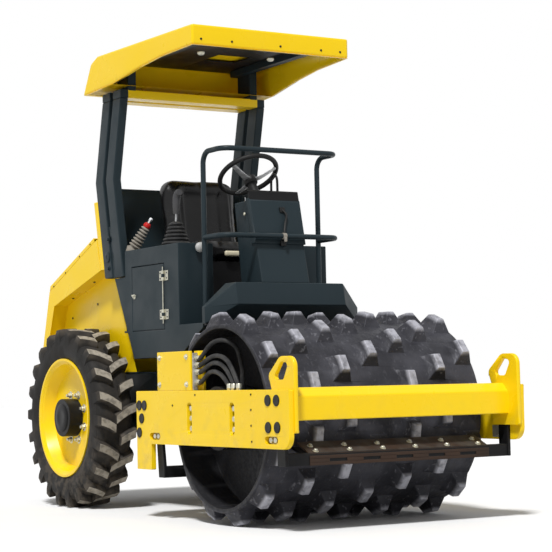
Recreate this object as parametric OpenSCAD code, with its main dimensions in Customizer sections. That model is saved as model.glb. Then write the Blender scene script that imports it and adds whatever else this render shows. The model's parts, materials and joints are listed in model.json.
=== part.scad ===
// Single-drum road roller with a padfoot drum, steered at a joint in its middle,
// with a hand rail, a roll-over frame and a roof round the driver's place.
// Millimetres. X points forward, Y to the machine's left, Z up. The origin is on the
// ground below the middle of the machine.
// Names that end in _a are distances ahead of the rear axle, names that end in _d are
// distances ahead of the drum's axis, and names that end in _z are heights.

/* [Main] */
// Distance between the drum's axis and the rear axle
wheelbase = 1751; // [1740:1:1790]
// Height of the roof's top
roof_z = 2480; // [2450:5:2520]
// Height of the driver's floor
floor_z = 960; // [955:1:980]
// Half of the width across the driver's platform
platform_half = 450; // [440:1:460]

/* [Drum] */
// Width of the drum
drum_w = 1200; // [1160:10:1240]
// Outer radius of the drum's shell
shell_r = 445; // [435:1:450]
// Wall of the drum's shell
shell_t = 22; // [16:1:28]
// Depth of the drum's heads behind its ends
head_inset = 190; // [170:5:200]
// Wall of the drum's heads
head_t = 25; // [15:1:35]
// Height of a pad above the shell
pad_h = 60; // [50:1:62]
// Width of a pad along the drum, at its foot
pad_foot_w = 95; // [80:1:110]
// Width of a pad along the drum, at its tip
pad_tip_w = 38; // [30:1:50]
// Length of a pad round the drum, at its foot
pad_foot_l = 130; // [110:1:150]
// Length of a pad round the drum, at its tip
pad_tip_l = 78; // [60:1:90]
// Columns of pads along the drum
pad_columns = 7; // [5:1:8]
// Pads round one column
pads_around = 12; // [9:1:12]

/* [Front frame] */
// Free space between a drum's end and the side plate
drum_side_gap = 30; // [28:1:40]
// Thickness of a side plate
plate_t = 25; // [20:1:30]
// Reach of the side plates behind the drum's axis
plate_back = 762; // [755:1:768]
// Rise of the side plates' top edge above the drum's axis
plate_rise = 133; // [120:1:145]
// Drop of the side plates' bottom edge below the drum's axis
plate_drop = 130; // [115:1:145]
// Drop of the side plates' tails below the drum's axis
tail_drop = 258; // [245:1:270]
// Length of a tail
tail_l = 158; // [140:1:175]
// Thickness of a lifting-eye plate
eye_t = 20; // [16:1:24]
// Rise of the lifting eyes' top above the drum's axis
eye_rise = 280; // [265:1:295]
// Reach of the lifting eyes ahead of the cross bar
eye_lead = 74; // [65:1:85]
// Free space between the drum's pads and the cross bar
bar_clear = 45; // [40:1:60]
// Depth of the cross bar
bar_depth = 90; // [70:1:100]
// Height of the cross bar
bar_h = 146; // [130:1:160]
// Drop of the cross bar's bottom below the drum's axis
bar_drop = 6; // [0:1:15]

/* [Steering joint] */
// Distance of the steering pivot behind the drum's axis
pivot_back = 875; // [865:1:885]
// Radius of the pivot's pin
pivot_pin_r = 32; // [26:1:36]
// Radius round the pivot's eyes
pivot_eye_r = 72; // [64:1:80]

/* [Wheels] */
// Radius of the tyres at the lugs' tips
tyre_r = 495; // [485:1:500]
// Width of a tyre
tyre_w = 225; // [205:1:235]
// Distance of a tyre's middle from the machine's middle
tyre_y = 508; // [504:1:516]
// Height of a lug
lug_h = 34; // [26:1:38]
// Lugs on each half of a tyre
lugs_around = 26; // [20:1:28]
// Radius of the rim's flanges
rim_r = 328; // [320:1:335]

/* [Body] */
// Half of the width across the hood
hood_half = 457; // [452:1:465]
// Reach of the hood's lowest edge behind the rear axle
hood_back = 650; // [630:1:670]
// Thickness of the sheet metal
sheet_t = 6; // [4:1:8]
// Height of the boxes beside the seat
console_z = 1392; // [1370:1:1410]
// Width of the boxes beside the seat
console_w = 205; // [190:1:215]
// Length of a side door
door_l = 370; // [350:1:390]
// Height of a side door
door_h = 346; // [330:1:360]

/* [Driver's place] */
// Width of the instrument stand
dash_w = 300; // [280:1:320]
// Height of the instrument stand's top
dash_z = 1612; // [1590:1:1630]
// Outer radius of the steering wheel
wheel_r = 168; // [150:1:180]
// Radius of the hand rail's tube
rail_r = 13.5; // [11:0.5:16]
// Height of the hand rail's top
rail_z = 1850; // [1820:1:1880]
// Half of the width across the seat
seat_half = 222; // [200:1:225]

/* [Roof] */
// Half of the roof's width at its front
roof_front_half = 471; // [465:1:480]
// Half of the roof's width at its rear
roof_back_half = 525; // [515:1:535]
// Front edge of the roof ahead of the rear axle
roof_front_a = 1306; // [1290:1:1320]
// Width of a roll-over post along the machine
post_l = 95; // [85:1:100]
// Width of a roll-over post across the machine
post_w = 48; // [40:1:55]

/* [Hidden] */
$fn = 48;
overrun = 5;
// Running clearance of shafts, and the gap between parts that meet
run_gap = 0.06;
seat_gap = 0.3;

// Where the drum, the pivot and the axle stand
drum_r = shell_r + pad_h;
drum_z = drum_r;
bar_back_d = drum_r + bar_clear;
bar_front_d = bar_back_d + bar_depth;
eye_front_d = bar_front_d + eye_lead;
front_reach = eye_front_d;
back_reach = wheelbase + hood_back;
drum_x = (back_reach - front_reach) / 2;
axle_x = drum_x - wheelbase;
axle_z = tyre_r;
pivot_x = drum_x - pivot_back;
function ahead_d(d) = drum_x + d;
function ahead_a(a) = axle_x + a;

yellow = [0.95, 0.74, 0.07];
slate = [0.17, 0.2, 0.22];
dark = [0.13, 0.13, 0.14];
iron = [0.27, 0.27, 0.29];
rubber = [0.14, 0.14, 0.14];
zinc = [0.75, 0.75, 0.68];
cream = [0.85, 0.83, 0.75];

// Shared shapes

function unit(v) = v / norm(v);
// Points of an arc of radius r that rounds the corner b between a and c
function corner(a, b, c, r, steps = 6) =
    let (u = unit(a - b), v = unit(c - b), half = acos(u * v) / 2)
    let (middle = b + unit(u + v) * r / sin(half))
    let (from = b + u * r / tan(half) - middle, to = b + v * r / tan(half) - middle)
    let (start = atan2(from.y, from.x), turn = atan2(to.y, to.x) - start)
    let (sweep = turn > 180 ? turn - 360 : turn < -180 ? turn + 360 : turn)
    [for (i = [0:steps]) middle + r * [cos(start + sweep * i / steps), sin(start + sweep * i / steps)]];
// An outline with its corners rounded, each by its own radius
function rounded(points, radii) =
    let (n = len(points))
    [for (i = [0:n - 1]) each radii[i] > 0
        ? corner(points[(i + n - 1) % n], points[i], points[(i + 1) % n], radii[i])
        : [points[i]]];
// The same radius for every corner of an outline
function all_corners(points, r) = rounded(points, [for (p = points) r]);
// A rectangle's outline from its low and high corners
function rectangle(low, high) = [low, [high.x, low.y], high, [low.x, high.y]];

// A box between two corners
module block(low, high) {
    translate(low) cube(high - low);
}
// An outline in X and Z, as a sheet from y towards +Y
module sheet_xz(outline, y, t) {
    translate([0, y + t, 0]) rotate([90, 0, 0]) linear_extrude(t) polygon(outline);
}
// An outline in X and Z with a second one cut out of it
module frame_xz(outline, hole, y, t) {
    difference() {
        sheet_xz(outline, y, t);
        sheet_xz(hole, y - overrun, t + 2 * overrun);
    }
}
// An outline in Y and Z, as a sheet from x towards +X
module sheet_yz(outline, x, t) {
    translate([x, 0, 0]) rotate([90, 0, 90]) linear_extrude(t) polygon(outline);
}
// Round bars along X, Y and Z
module bar_x(r, x0, x1, y, z) {
    translate([x0, y, z]) rotate([0, 90, 0]) cylinder(r = r, h = x1 - x0);
}
module bar_y(r, x, y0, y1, z) {
    translate([x, y0, z]) rotate([-90, 0, 0]) cylinder(r = r, h = y1 - y0);
}
module bar_z(r, x, y, z0, z1) {
    translate([x, y, z0]) cylinder(r = r, h = z1 - z0);
}
// The same on the machine's right and left
module both_sides() {
    children();
    mirror([0, 1, 0]) children();
}
// Points on a smooth curve through a route's points
function bend(p, q, r, s, t) =
    ((2 * q) + (r - p) * t + (2 * p - 5 * q + 4 * r - s) * t * t
        + (3 * q - p - 3 * r + s) * t * t * t) / 2;
function smooth(route, steps = 4) =
    let (n = len(route))
    [for (i = [0:n - 2]) for (j = [0:steps - (i == n - 2 ? 0 : 1)])
        bend(route[max(i - 1, 0)], route[i], route[i + 1], route[min(i + 2, n - 1)], j / steps)];
// A tube swept along the points of a route
module tube(route, r, sides = 10) {
    n = len(route);
    function along(i) = unit(route[min(i + 1, n - 1)] - route[max(i - 1, 0)]);
    rings = [for (i = [0:n - 1])
        let (side = unit(cross(along(i), [0, 1, 0])), up = cross(side, along(i)))
        for (k = [0:sides - 1])
            route[i] + r * (cos(360 * k / sides) * side + sin(360 * k / sides) * up)];
    walls = [for (i = [0:n - 2]) for (k = [0:sides - 1])
        let (here = i * sides, next = here + sides, k1 = (k + 1) % sides)
        each [[here + k, next + k, next + k1], [here + k, next + k1, here + k1]]];
    caps = [[for (k = [0:sides - 1]) k], [for (k = [0:sides - 1]) n * sides - 1 - k]];
    polyhedron(rings, concat(walls, caps));
}

// Front frame

frame_in = drum_w / 2 + drum_side_gap;
frame_out = frame_in + plate_t;
eye_in = frame_in - eye_t;
plate_over = 9;
plate_front_d = eye_front_d - plate_over;
plate_back_d = -plate_back;
plate_top_z = drum_z + plate_rise;
plate_bottom_z = drum_z - plate_drop;
tail_z = drum_z - tail_drop;
tail_front_d = plate_back_d + tail_l;
plate_corner_r = 60;
plate_edge_r = 8;
// Upright slots for the drum's mounts and level slots for the scrapers
slot_d = 204.5;
slot_l = 153;
slot_w = 46;
low_slot_front_inset = 155;
low_slot_back_inset = 198;
low_slot_front_d = plate_front_d - low_slot_front_inset;
low_slot_back_d = plate_back_d + low_slot_back_inset;
low_slot_rise = 39;
low_slot_l = 112;
low_slot_w = 34;
slot_round_share = 0.48;

function slot_outline(x, z, l, h) =
    all_corners(rectangle([x - l / 2, z - h / 2], [x + l / 2, z + h / 2]), min(l, h) * slot_round_share);

module side_plate() {
    outline = rounded([[ahead_d(plate_back_d), tail_z], [ahead_d(tail_front_d), tail_z],
        [ahead_d(tail_front_d), plate_bottom_z], [ahead_d(plate_front_d), plate_bottom_z],
        [ahead_d(plate_front_d), plate_top_z], [ahead_d(plate_back_d), plate_top_z]],
        [plate_edge_r, plate_edge_r, plate_edge_r, plate_corner_r, plate_edge_r, plate_edge_r]);
    color(yellow) difference() {
        sheet_xz(outline, -frame_out, plate_t);
        for (d = [-slot_d, slot_d])
            sheet_xz(slot_outline(ahead_d(d), drum_z, slot_w, slot_l), -frame_out - overrun,
                plate_t + 2 * overrun);
        for (d = [low_slot_back_d, low_slot_front_d])
            sheet_xz(slot_outline(ahead_d(d), plate_bottom_z + low_slot_rise, low_slot_l, low_slot_w),
                -frame_out - overrun, plate_t + 2 * overrun);
    }
}
module side_plate_right() {
    side_plate();
}
module side_plate_left() {
    mirror([0, 1, 0]) side_plate();
}

// Lifting eyes and the cross bar between them
eye_l = 216;
eye_h = 155;
eye_foot = 53;
eye_round = 62;
// Corners of the eye, back from its front and down from its top, as shares of its length and
// height, with the rounding of each corner and of the two at its foot
eye_shares = [[0, 0], [0.553, 0], [1, 0.5], [1, 0.66], [0.9, 1]];
eye_round_shares = [0.8, 1, 0.45, 0.3, 0.2];
eye_foot_round_share = 0.16;
eye_hole_shares = [[0.516, 0.148], [0.868, 0.67], [0.424, 0.67], [0.229, 0.2]];
eye_hole_r = 16;
eye_top_z = drum_z + eye_rise;
bar_z = drum_z - bar_drop;
eye_low_z = bar_z - eye_foot;
bar_chamfer = 38;

function eye_point(s) = [ahead_d(eye_front_d - s[0] * eye_l), eye_top_z - s[1] * eye_h];
module eye_plate() {
    crest = [for (s = eye_shares) eye_point(s)];
    foot = [[crest[len(crest) - 1].x, eye_low_z], [crest[0].x, eye_low_z]];
    radii = [for (s = eye_round_shares) s * eye_round];
    foot_r = eye_foot_round_share * eye_round;
    outline = rounded(concat(crest, foot), concat(radii, [foot_r, foot_r]));
    hole = all_corners([for (s = eye_hole_shares) eye_point(s)], eye_hole_r);
    frame_xz(outline, hole, -frame_in, eye_t);
}
module front_bar() {
    back_x = ahead_d(bar_back_d);
    front_x = ahead_d(bar_front_d);
    top_z = bar_z + bar_h;
    color(yellow) {
        both_sides() eye_plate();
        sheet_xz([[back_x, bar_z], [front_x, bar_z], [front_x, top_z - bar_chamfer],
            [front_x - bar_chamfer, top_z], [back_x, top_z]], -eye_in, 2 * eye_in);
    }
}

// Beam behind the drum, with the tongue of the steering joint
beam_depth = 130;
beam_low_z = 430;
beam_high_z = 620;
tongue_half = 70;
tongue_low_z = 456;
tongue_high_z = 594;
ear_t = 30;
ear_gap = 6;

// Steering cylinder: its eye on the chassis, its fork on the rear beam
cylinder_back = 376;
cylinder_x = pivot_x - cylinder_back;
cylinder_z = 525;
cylinder_y = 150;
cylinder_pin_r = 12;
cylinder_eye_r = 30;
cylinder_eye_h = 36;
barrel_r = 34;
barrel_l = 250;
rod_r = 16;
rod_reach = 105;
barrel_gap = 8;
fork_ahead = 30;
fork_x = pivot_x + fork_ahead;
fork_t = 14;
fork_gap = 6;

module rear_beam() {
    back_x = ahead_d(plate_back_d);
    fork_half = cylinder_eye_h / 2 + fork_gap;
    color(yellow) difference() {
        union() {
            block([back_x, -frame_in, beam_low_z], [back_x + beam_depth, frame_in, beam_high_z]);
            block([pivot_x, -tongue_half, tongue_low_z], [back_x + overrun, tongue_half, tongue_high_z]);
            bar_z(pivot_eye_r, pivot_x, 0, tongue_low_z, tongue_high_z);
            for (z = [cylinder_z - fork_half - fork_t, cylinder_z + fork_half]) {
                block([fork_x, cylinder_y - cylinder_eye_r, z],
                    [back_x + overrun, cylinder_y + cylinder_eye_r, z + fork_t]);
                bar_z(cylinder_eye_r, fork_x, cylinder_y, z, z + fork_t);
            }
        }
        bar_z(pivot_pin_r + run_gap, pivot_x, 0, tongue_low_z - overrun, tongue_high_z + overrun);
    }
}

// Mounts that carry the drum: a flange on the side plate, the drive motor and its shaft
mount_t = 18;
mount_half_l = 252;
mount_half_h = 110;
motor_r = 150;
stub_r = 60;
boss_r = 110;
boss_l = 60;
boss_gap = 8;
// Port on the motor for a hose, from where the hoses start, and the height of its top
port_r = 17;
port_x = 245;
port_y = 102;
port_rim = 5;
port_z = drum_z + motor_r + port_rim;
head_y = drum_w / 2 - head_inset;

module drum_mount() {
    inner_y = -frame_in + mount_t;
    motor_y = -head_y - boss_l / 2 - boss_gap;
    block([drum_x - mount_half_l, -frame_in, drum_z - mount_half_h],
        [drum_x + mount_half_l, inner_y, drum_z + mount_half_h]);
    bar_y(motor_r, drum_x, inner_y - overrun, motor_y, drum_z);
    bar_y(stub_r, drum_x, motor_y - overrun, -head_y + boss_l / 2 + boss_gap, drum_z);
}
module drum_mounts() {
    color(dark) {
        both_sides() drum_mount();
        bar_z(port_r, hose_from.x + port_x, hose_from.y + port_y, drum_z, port_z);
    }
}

// Drum
pad_sink = 9;
pad_edge_share = 0.4;
pad_pitch = drum_w / (pad_columns - pad_edge_share);
pad_turn = 360 / pads_around;
pad_columns_in_turn = 3;

function column_y(k) = (k - (pad_columns - 1) / 2) * pad_pitch;

// A pad, tapered both ways, standing on its foot along +X
module pad() {
    foot = shell_r - pad_sink;
    spread_w = (pad_foot_w - pad_tip_w) / 2 * pad_sink / pad_h;
    spread_l = (pad_foot_l - pad_tip_l) / 2 * pad_sink / pad_h;
    half_w = pad_foot_w / 2 + spread_w;
    half_l = pad_foot_l / 2 + spread_l;
    intersection() {
        translate([0, half_l, 0]) rotate([90, 0, 0]) linear_extrude(2 * half_l)
            polygon([[foot, -half_w], [drum_r, -pad_tip_w / 2], [drum_r, pad_tip_w / 2], [foot, half_w]]);
        translate([0, 0, -half_w]) linear_extrude(2 * half_w)
            polygon([[foot, -half_l], [drum_r, -pad_tip_l / 2], [drum_r, pad_tip_l / 2], [foot, half_l]]);
    }
}
module drum_head() {
    difference() {
        union() {
            cylinder(r = shell_r - shell_t / 2, h = head_t, center = true);
            cylinder(r = boss_r, h = boss_l, center = true);
        }
        cylinder(r = stub_r + run_gap, h = boss_l + 2 * overrun, center = true);
    }
}
module drum() {
    color(iron) translate([drum_x, 0, drum_z]) rotate([90, 0, 0]) {
        difference() {
            cylinder(r = shell_r, h = drum_w, center = true, $fn = 96);
            cylinder(r = shell_r - shell_t, h = drum_w + 2 * overrun, center = true, $fn = 96);
        }
        for (y = [-head_y, head_y])
            translate([0, 0, y]) drum_head();
        for (k = [0:pad_columns - 1])
            for (j = [0:pads_around - 1])
                rotate(j * pad_turn + (1 - k) * pad_turn / pad_columns_in_turn)
                    translate([0, 0, column_y(k)]) pad();
    }
}

// Scrapers with teeth between the columns of pads
tooth_w = 60;
tooth_t = 12;
tooth_gap = 12;
// Angles below the drum's axis and free space outside the pads
front_scraper_turn = 16.8;
rear_scraper_turn = 26.1;
front_scraper_room = 113;
rear_scraper_room = 105;
front_scraper_d = (drum_r + front_scraper_room) * cos(front_scraper_turn);
front_scraper_z = drum_z - (drum_r + front_scraper_room) * sin(front_scraper_turn);
rear_scraper_d = -(drum_r + rear_scraper_room) * cos(rear_scraper_turn);
rear_scraper_z = drum_z - (drum_r + rear_scraper_room) * sin(rear_scraper_turn);
scraper_bar = 56;
scraper_arm_t = 16;
scraper_half = frame_in - scraper_arm_t;
front_arm_w = 70;
rear_arm_w = 60;

module scraper_teeth(d, z) {
    reach = norm([d, z - drum_z]);
    translate([drum_x, 0, drum_z]) rotate([0, -atan2(z - drum_z, d), 0])
        for (k = [0:pad_columns - 2])
            translate([shell_r + tooth_gap, column_y(k) + pad_pitch / 2 - tooth_w / 2, -tooth_t / 2])
                cube([reach - shell_r - tooth_gap, tooth_w, tooth_t]);
}
module scraper_beam(d, z) {
    block([ahead_d(d) - scraper_bar / 2, -scraper_half, z - scraper_bar / 2],
        [ahead_d(d) + scraper_bar / 2, scraper_half, z + scraper_bar / 2]);
}
module front_scraper() {
    low = front_scraper_z - scraper_bar / 2;
    color(dark) {
        scraper_beam(front_scraper_d, front_scraper_z);
        scraper_teeth(front_scraper_d, front_scraper_z);
        both_sides() block([ahead_d(front_scraper_d) - front_arm_w / 2, -frame_in, low],
            [ahead_d(front_scraper_d) + front_arm_w / 2, -scraper_half, eye_low_z]);
    }
}
module rear_scraper() {
    x = ahead_d(rear_scraper_d);
    top_x = ahead_d(low_slot_back_d) - rear_arm_w / 2;
    top_z = plate_bottom_z + low_slot_l / 2;
    low_z = rear_scraper_z - scraper_bar / 2;
    color(dark) {
        scraper_beam(rear_scraper_d, rear_scraper_z);
        scraper_teeth(rear_scraper_d, rear_scraper_z);
        both_sides() sheet_xz([[x - rear_arm_w / 2, low_z], [x + rear_arm_w / 2, low_z],
            [x + rear_arm_w / 2, rear_scraper_z + scraper_bar / 2], [top_x + rear_arm_w, plate_bottom_z],
            [top_x + rear_arm_w, top_z], [top_x, top_z], [top_x, plate_bottom_z]],
            -frame_in, scraper_arm_t);
    }
}

// Valve block on the right side plate, its cover and its hoses
valve_back_d = -530;
valve_front_d = -188;
valve_h = 190;
cover_t = 14;
valve_overhang = 18;
valve_in = frame_in - valve_overhang;
valve_step = 10;
bracket_l = 40;
hose_r = 11;
hose_clear = 2;
hose_lead = 8;
bracket_y = -frame_in + 2 * (hose_r + hose_clear);

module valve_block() {
    color(zinc) block([ahead_d(valve_back_d + valve_step), -frame_out + cover_t, plate_top_z],
        [ahead_d(valve_front_d), -valve_in, plate_top_z + valve_h - valve_step]);
}
module valve_cover() {
    color(yellow) {
        block([ahead_d(valve_back_d), -frame_out, plate_top_z],
            [ahead_d(valve_front_d), -frame_out + cover_t, plate_top_z + valve_h]);
        block([ahead_d(valve_front_d) - bracket_l, -valve_in + seat_gap, plate_top_z],
            [ahead_d(valve_front_d), bracket_y + cover_t, plate_top_z + valve_h]);
        block([ahead_d(valve_front_d) - overrun, bracket_y, plate_top_z],
            [ahead_d(valve_front_d) + bracket_l, bracket_y + cover_t, plate_top_z + valve_h]);
    }
}
// Hose routes from the valve block's front, three to the drum's mount and one to its motor
hose_from = [ahead_d(valve_front_d) + seat_gap + hose_lead, -frame_in + hose_r + hose_clear, plate_top_z];
mount_rise = drum_z + mount_half_h + seat_gap + hose_lead - plate_top_z;
port_rise = port_z + seat_gap + hose_lead - plate_top_z;
hose_routes = [
    [[0, 0, 154], [30, 0, 154], [120, 10, 220], [190, 40, 234], [235, 80, 195], [port_x, port_y, 100],
        [port_x, port_y, 60], [port_x, port_y, port_rise]],
    [[0, 0, 122], [30, 0, 122], [140, 0, 158], [225, 0, 158], [295, 0, 130], [350, 0, 70],
        [390, 0, 10], [390, 0, mount_rise]],
    [[0, 0, 88], [30, 0, 88], [140, 0, 126], [220, 0, 122], [285, 0, 88], [344, 0, 20],
        [344, 0, mount_rise]],
    [[0, 0, 38], [30, 0, 38], [120, 0, 84], [195, 0, 82], [256, 0, 54], [304, 0, 10],
        [304, 0, mount_rise]]];

module hoses() {
    color(rubber) for (route = hose_routes) {
        line = smooth([for (p = route) hose_from + p]);
        first = line[0] - [hose_lead, 0, 0];
        last = line[len(line) - 1] - [0, 0, hose_lead];
        tube(concat([first], line, [last]), hose_r);
    }
}

// Wheels
rim_seat_share = 0.93;
rim_seat_r = rim_r * rim_seat_share;
tread_r = tyre_r - lug_h;
// A tyre's half section: shares of its depth from rim seat to tread, and of its width
tyre_shares = [[0, 0.36], [0.15, 0.43], [0.45, 0.5], [0.75, 0.48], [0.93, 0.41], [1, 0.27]];
rim_t = 15;
rim_flange_t = 8;
rim_w_share = 0.94;
rim_half = rim_w_share * tyre_w / 2;
rim_lip_w = 12;
rim_step = 16;
rim_dish = 20;
disc_w = 20;
disc_t = 12;
hub_nose_r = 104;
hub_nose_w = 112;
hub_flange_r = 160;
hub_flange_t = 18;
spindle_r = 48;
spindle_w = 90;
axle_r = 75;
brake_r = 122;
brake_y = 330;

// Stations of a lug from the tyre's middle to its side: share of the half width,
// turn as a share of the pitch, share of the tread's rise, depth of its foot in lugs
lug_station_shares = [[0.5, 0.75, 1, 0.4], [0.93, 1.3, 0.92, 1.2], [0.99, 1.42, 0.1, 1.7]];
lug_start_shares = [[-0.09, 0, 1, 0.35], [0.13, 0.25, 1, 0.35]];
lug_top_w = 42;
lug_foot_w = 58;
lug_pitch = 360 / lugs_around;

// A lug's four corners at one station, as points round the wheel's axis
function lug_ring(s) =
    let (w = s[0] * tyre_w / 2, turn = s[1] * lug_pitch)
    let (high = tread_r + s[2] * lug_h, low = tread_r - s[3] * lug_h)
    [for (c = [[low, -lug_foot_w], [low, lug_foot_w], [high, lug_top_w], [high, -lug_top_w]])
        let (spread = asin(c[1] / 2 / tyre_r))
        [c[0] * cos(turn + spread), c[0] * sin(turn + spread), w]];
module lug(start) {
    stations = concat([start], lug_station_shares);
    rings = [for (s = stations) each lug_ring(s)];
    n = len(stations);
    walls = [for (i = [0:n - 2]) for (k = [0:3])
        let (here = 4 * i, next = here + 4, k1 = (k + 1) % 4)
        each [[here + k, next + k1, next + k], [here + k, here + k1, next + k1]]];
    caps = [[3, 2, 1, 0], [4 * n - 4, 4 * n - 3, 4 * n - 2, 4 * n - 1]];
    polyhedron(rings, concat(walls, caps));
}
module tyre() {
    depth = tread_r - rim_seat_r;
    half = [for (s = tyre_shares) [rim_seat_r + s[0] * depth, s[1] * tyre_w]];
    n = len(half);
    outline = concat(half, [for (i = [n - 1:-1:0]) [half[i].x, -half[i].y]]);
    color(rubber) {
        rotate_extrude($fn = 96) polygon(outline);
        for (i = [0:lugs_around - 1]) {
            start = lug_start_shares[i % len(lug_start_shares)];
            rotate(i * lug_pitch) lug(start);
            rotate((i + 0.5) * lug_pitch) mirror([0, 0, 1]) lug(start);
        }
    }
}
module rim() {
    out = rim_seat_r - seat_gap;
    edge = rim_half - rim_flange_t;
    color(yellow) rotate_extrude($fn = 96) {
        polygon([[out - rim_t, -rim_half], [rim_r, -rim_half], [rim_r, -edge], [out, -edge],
            [out, edge], [rim_r, edge], [rim_r, rim_half], [rim_r - rim_lip_w, rim_half],
            [out - rim_t / 2, rim_half - rim_step], [out - rim_t, rim_half - 2 * rim_step],
            [out - rim_t - rim_dish, disc_w + disc_t], [out - rim_t - rim_dish, disc_w]]);
        polygon([[hub_nose_r + seat_gap, disc_w], [out - rim_t, disc_w],
            [out - rim_t, disc_w + disc_t], [hub_nose_r + seat_gap, disc_w + disc_t]]);
    }
}
module hub() {
    color(dark) difference() {
        union() {
            translate([0, 0, disc_w - hub_flange_t]) cylinder(r = hub_flange_r, h = hub_flange_t);
            translate([0, 0, disc_w - hub_flange_t])
                cylinder(r = hub_nose_r, h = hub_nose_w - disc_w + hub_flange_t);
        }
        translate([0, 0, disc_w - hub_flange_t - overrun])
            cylinder(r = spindle_r + run_gap, h = spindle_w - disc_w + hub_flange_t + 2 * overrun);
    }
}
// Turns a shape made round Z into the right wheel, with +Z outwards
module right_wheel() {
    translate([axle_x, -tyre_y, axle_z]) rotate([90, 0, 0]) children();
}
module left_wheel() {
    mirror([0, 1, 0]) right_wheel() children();
}
module tyre_right() {
    right_wheel() tyre();
}
module rim_right() {
    right_wheel() rim();
}
module hub_right() {
    right_wheel() hub();
}
module tyre_left() {
    left_wheel() tyre();
}
module rim_left() {
    left_wheel() rim();
}
module hub_left() {
    left_wheel() hub();
}
module axle() {
    brake_end = tyre_y + disc_w - hub_flange_t - boss_gap;
    color(dark) {
        bar_y(axle_r, axle_x, -brake_y, brake_y, axle_z);
        both_sides() {
            bar_y(brake_r, axle_x, -brake_end, -brake_y + overrun, axle_z);
            bar_y(spindle_r, axle_x, -tyre_y - spindle_w, -brake_end + overrun, axle_z);
        }
    }
}

// Chassis, from the steering joint's ears to the hood's rear
rail_y = 230;
rail_t = 20;
chassis_front_a = 736;
chassis_back_a = -560;
chassis_low_z = 405;
chassis_tail_z = 540;
deck_t = 12;
deck_z = 740;
floor_t = 10;
inner_half = 370;
chassis_step_a = 440;
sheet_room = 60;
window_half = 54;

module chassis() {
    front_x = ahead_a(chassis_front_a);
    back_x = ahead_a(chassis_back_a);
    step_x = ahead_a(chassis_step_a);
    top_z = floor_z - floor_t;
    side = [[back_x, chassis_tail_z], [axle_x - 2 * brake_r, chassis_low_z], [front_x, chassis_low_z],
        [front_x, top_z], [step_x, top_z], [step_x, deck_z - deck_t], [back_x, deck_z - deck_t]];
    color(slate) difference() {
        union() {
            both_sides() sheet_xz(side, -rail_y - rail_t, rail_t);
            block([front_x - rail_t, -rail_y - overrun, chassis_low_z], [front_x, rail_y + overrun, top_z]);
            block([back_x, -rail_y - overrun, chassis_tail_z],
                [back_x + rail_t, rail_y + overrun, deck_z - deck_t]);
            block([ahead_a(-hood_back + sheet_room), -inner_half, deck_z - deck_t],
                [step_x, inner_half, deck_z]);
            for (z = [cylinder_z - cylinder_eye_h / 2 - fork_t - seat_gap,
                cylinder_z + cylinder_eye_h / 2 + seat_gap])
                block([cylinder_x - cylinder_eye_r, cylinder_y - cylinder_eye_r, z],
                    [cylinder_x + cylinder_eye_r, rail_y + overrun, z + fork_t]);
            for (z = [tongue_low_z - ear_gap - ear_t, tongue_high_z + ear_gap]) {
                block([front_x - overrun, -pivot_eye_r, z], [pivot_x, pivot_eye_r, z + ear_t]);
                bar_z(pivot_eye_r, pivot_x, 0, z, z + ear_t);
            }
        }
        bar_y(axle_r + seat_gap, axle_x, -inner_half, inner_half, axle_z);
        block([front_x - rail_t - overrun, cylinder_y - window_half, cylinder_z - window_half],
            [front_x + overrun, cylinder_y + window_half, cylinder_z + window_half]);
        bar_z(pivot_pin_r, pivot_x, 0, tongue_low_z - ear_gap - ear_t - overrun,
            tongue_high_z + ear_gap + ear_t + overrun);
    }
    color(slate) bar_z(cylinder_pin_r, cylinder_x, cylinder_y, cylinder_z - cylinder_eye_h / 2 - fork_t,
        cylinder_z + cylinder_eye_h / 2 + fork_t);
}
pin_head_t = 12;
pin_head_r = 46;

module pivot_pin() {
    low = tongue_low_z - ear_gap - ear_t;
    high = tongue_high_z + ear_gap + ear_t;
    color(zinc) {
        bar_z(pivot_pin_r - seat_gap / 10, pivot_x, 0, low - pin_head_t, high + pin_head_t);
        bar_z(pin_head_r, pivot_x, 0, high + seat_gap, high + pin_head_t);
        bar_z(pin_head_r, pivot_x, 0, low - pin_head_t, low - seat_gap);
    }
}

// Engine as one block
engine_front_a = 90;
engine_back_a = -440;
engine_half = 240;
engine_z = 1120;

module engine() {
    color(dark) block([ahead_a(engine_back_a), -engine_half, deck_z],
        [ahead_a(engine_front_a), engine_half, engine_z]);
}

// Roll-over posts: two bars a side, bent at a knee
post_foot_a = 235;
post_knee_a = 131;
post_top_a = 235;
post_foot_z = 1256;
post_knee_z = 1797;
post_head_z = 2232;
post_gap = 36;
post_out = hood_half;
post_plate_z = 1540;

function post_back(z) = z < post_knee_z
    ? post_foot_a + (post_knee_a - post_foot_a) * (z - post_foot_z) / (post_knee_z - post_foot_z)
    : post_knee_a + (post_top_a - post_knee_a) * (z - post_knee_z) / (post_head_z - post_knee_z);
function post_outline(shift) = let (levels = [post_foot_z, post_knee_z, post_head_z])
    concat([for (z = levels) [ahead_a(post_back(z) + shift), z]],
        [for (i = [len(levels) - 1:-1:0]) [ahead_a(post_back(levels[i]) + shift + post_l), levels[i]]]);

module rops() {
    color(slate) both_sides() {
        sheet_xz(post_outline(0), -post_out, post_w);
        sheet_xz(post_outline(post_l + post_gap), -post_out, post_w);
        sheet_xz([for (p = [[post_foot_z, post_l - overrun], [post_plate_z, post_l - overrun],
            [post_plate_z, post_l + post_gap + overrun], [post_foot_z, post_l + post_gap + overrun]])
            [ahead_a(post_back(p[0]) + p[1]), p[0]]], -post_out + sheet_t, post_w - 2 * sheet_t);
    }
}

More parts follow.
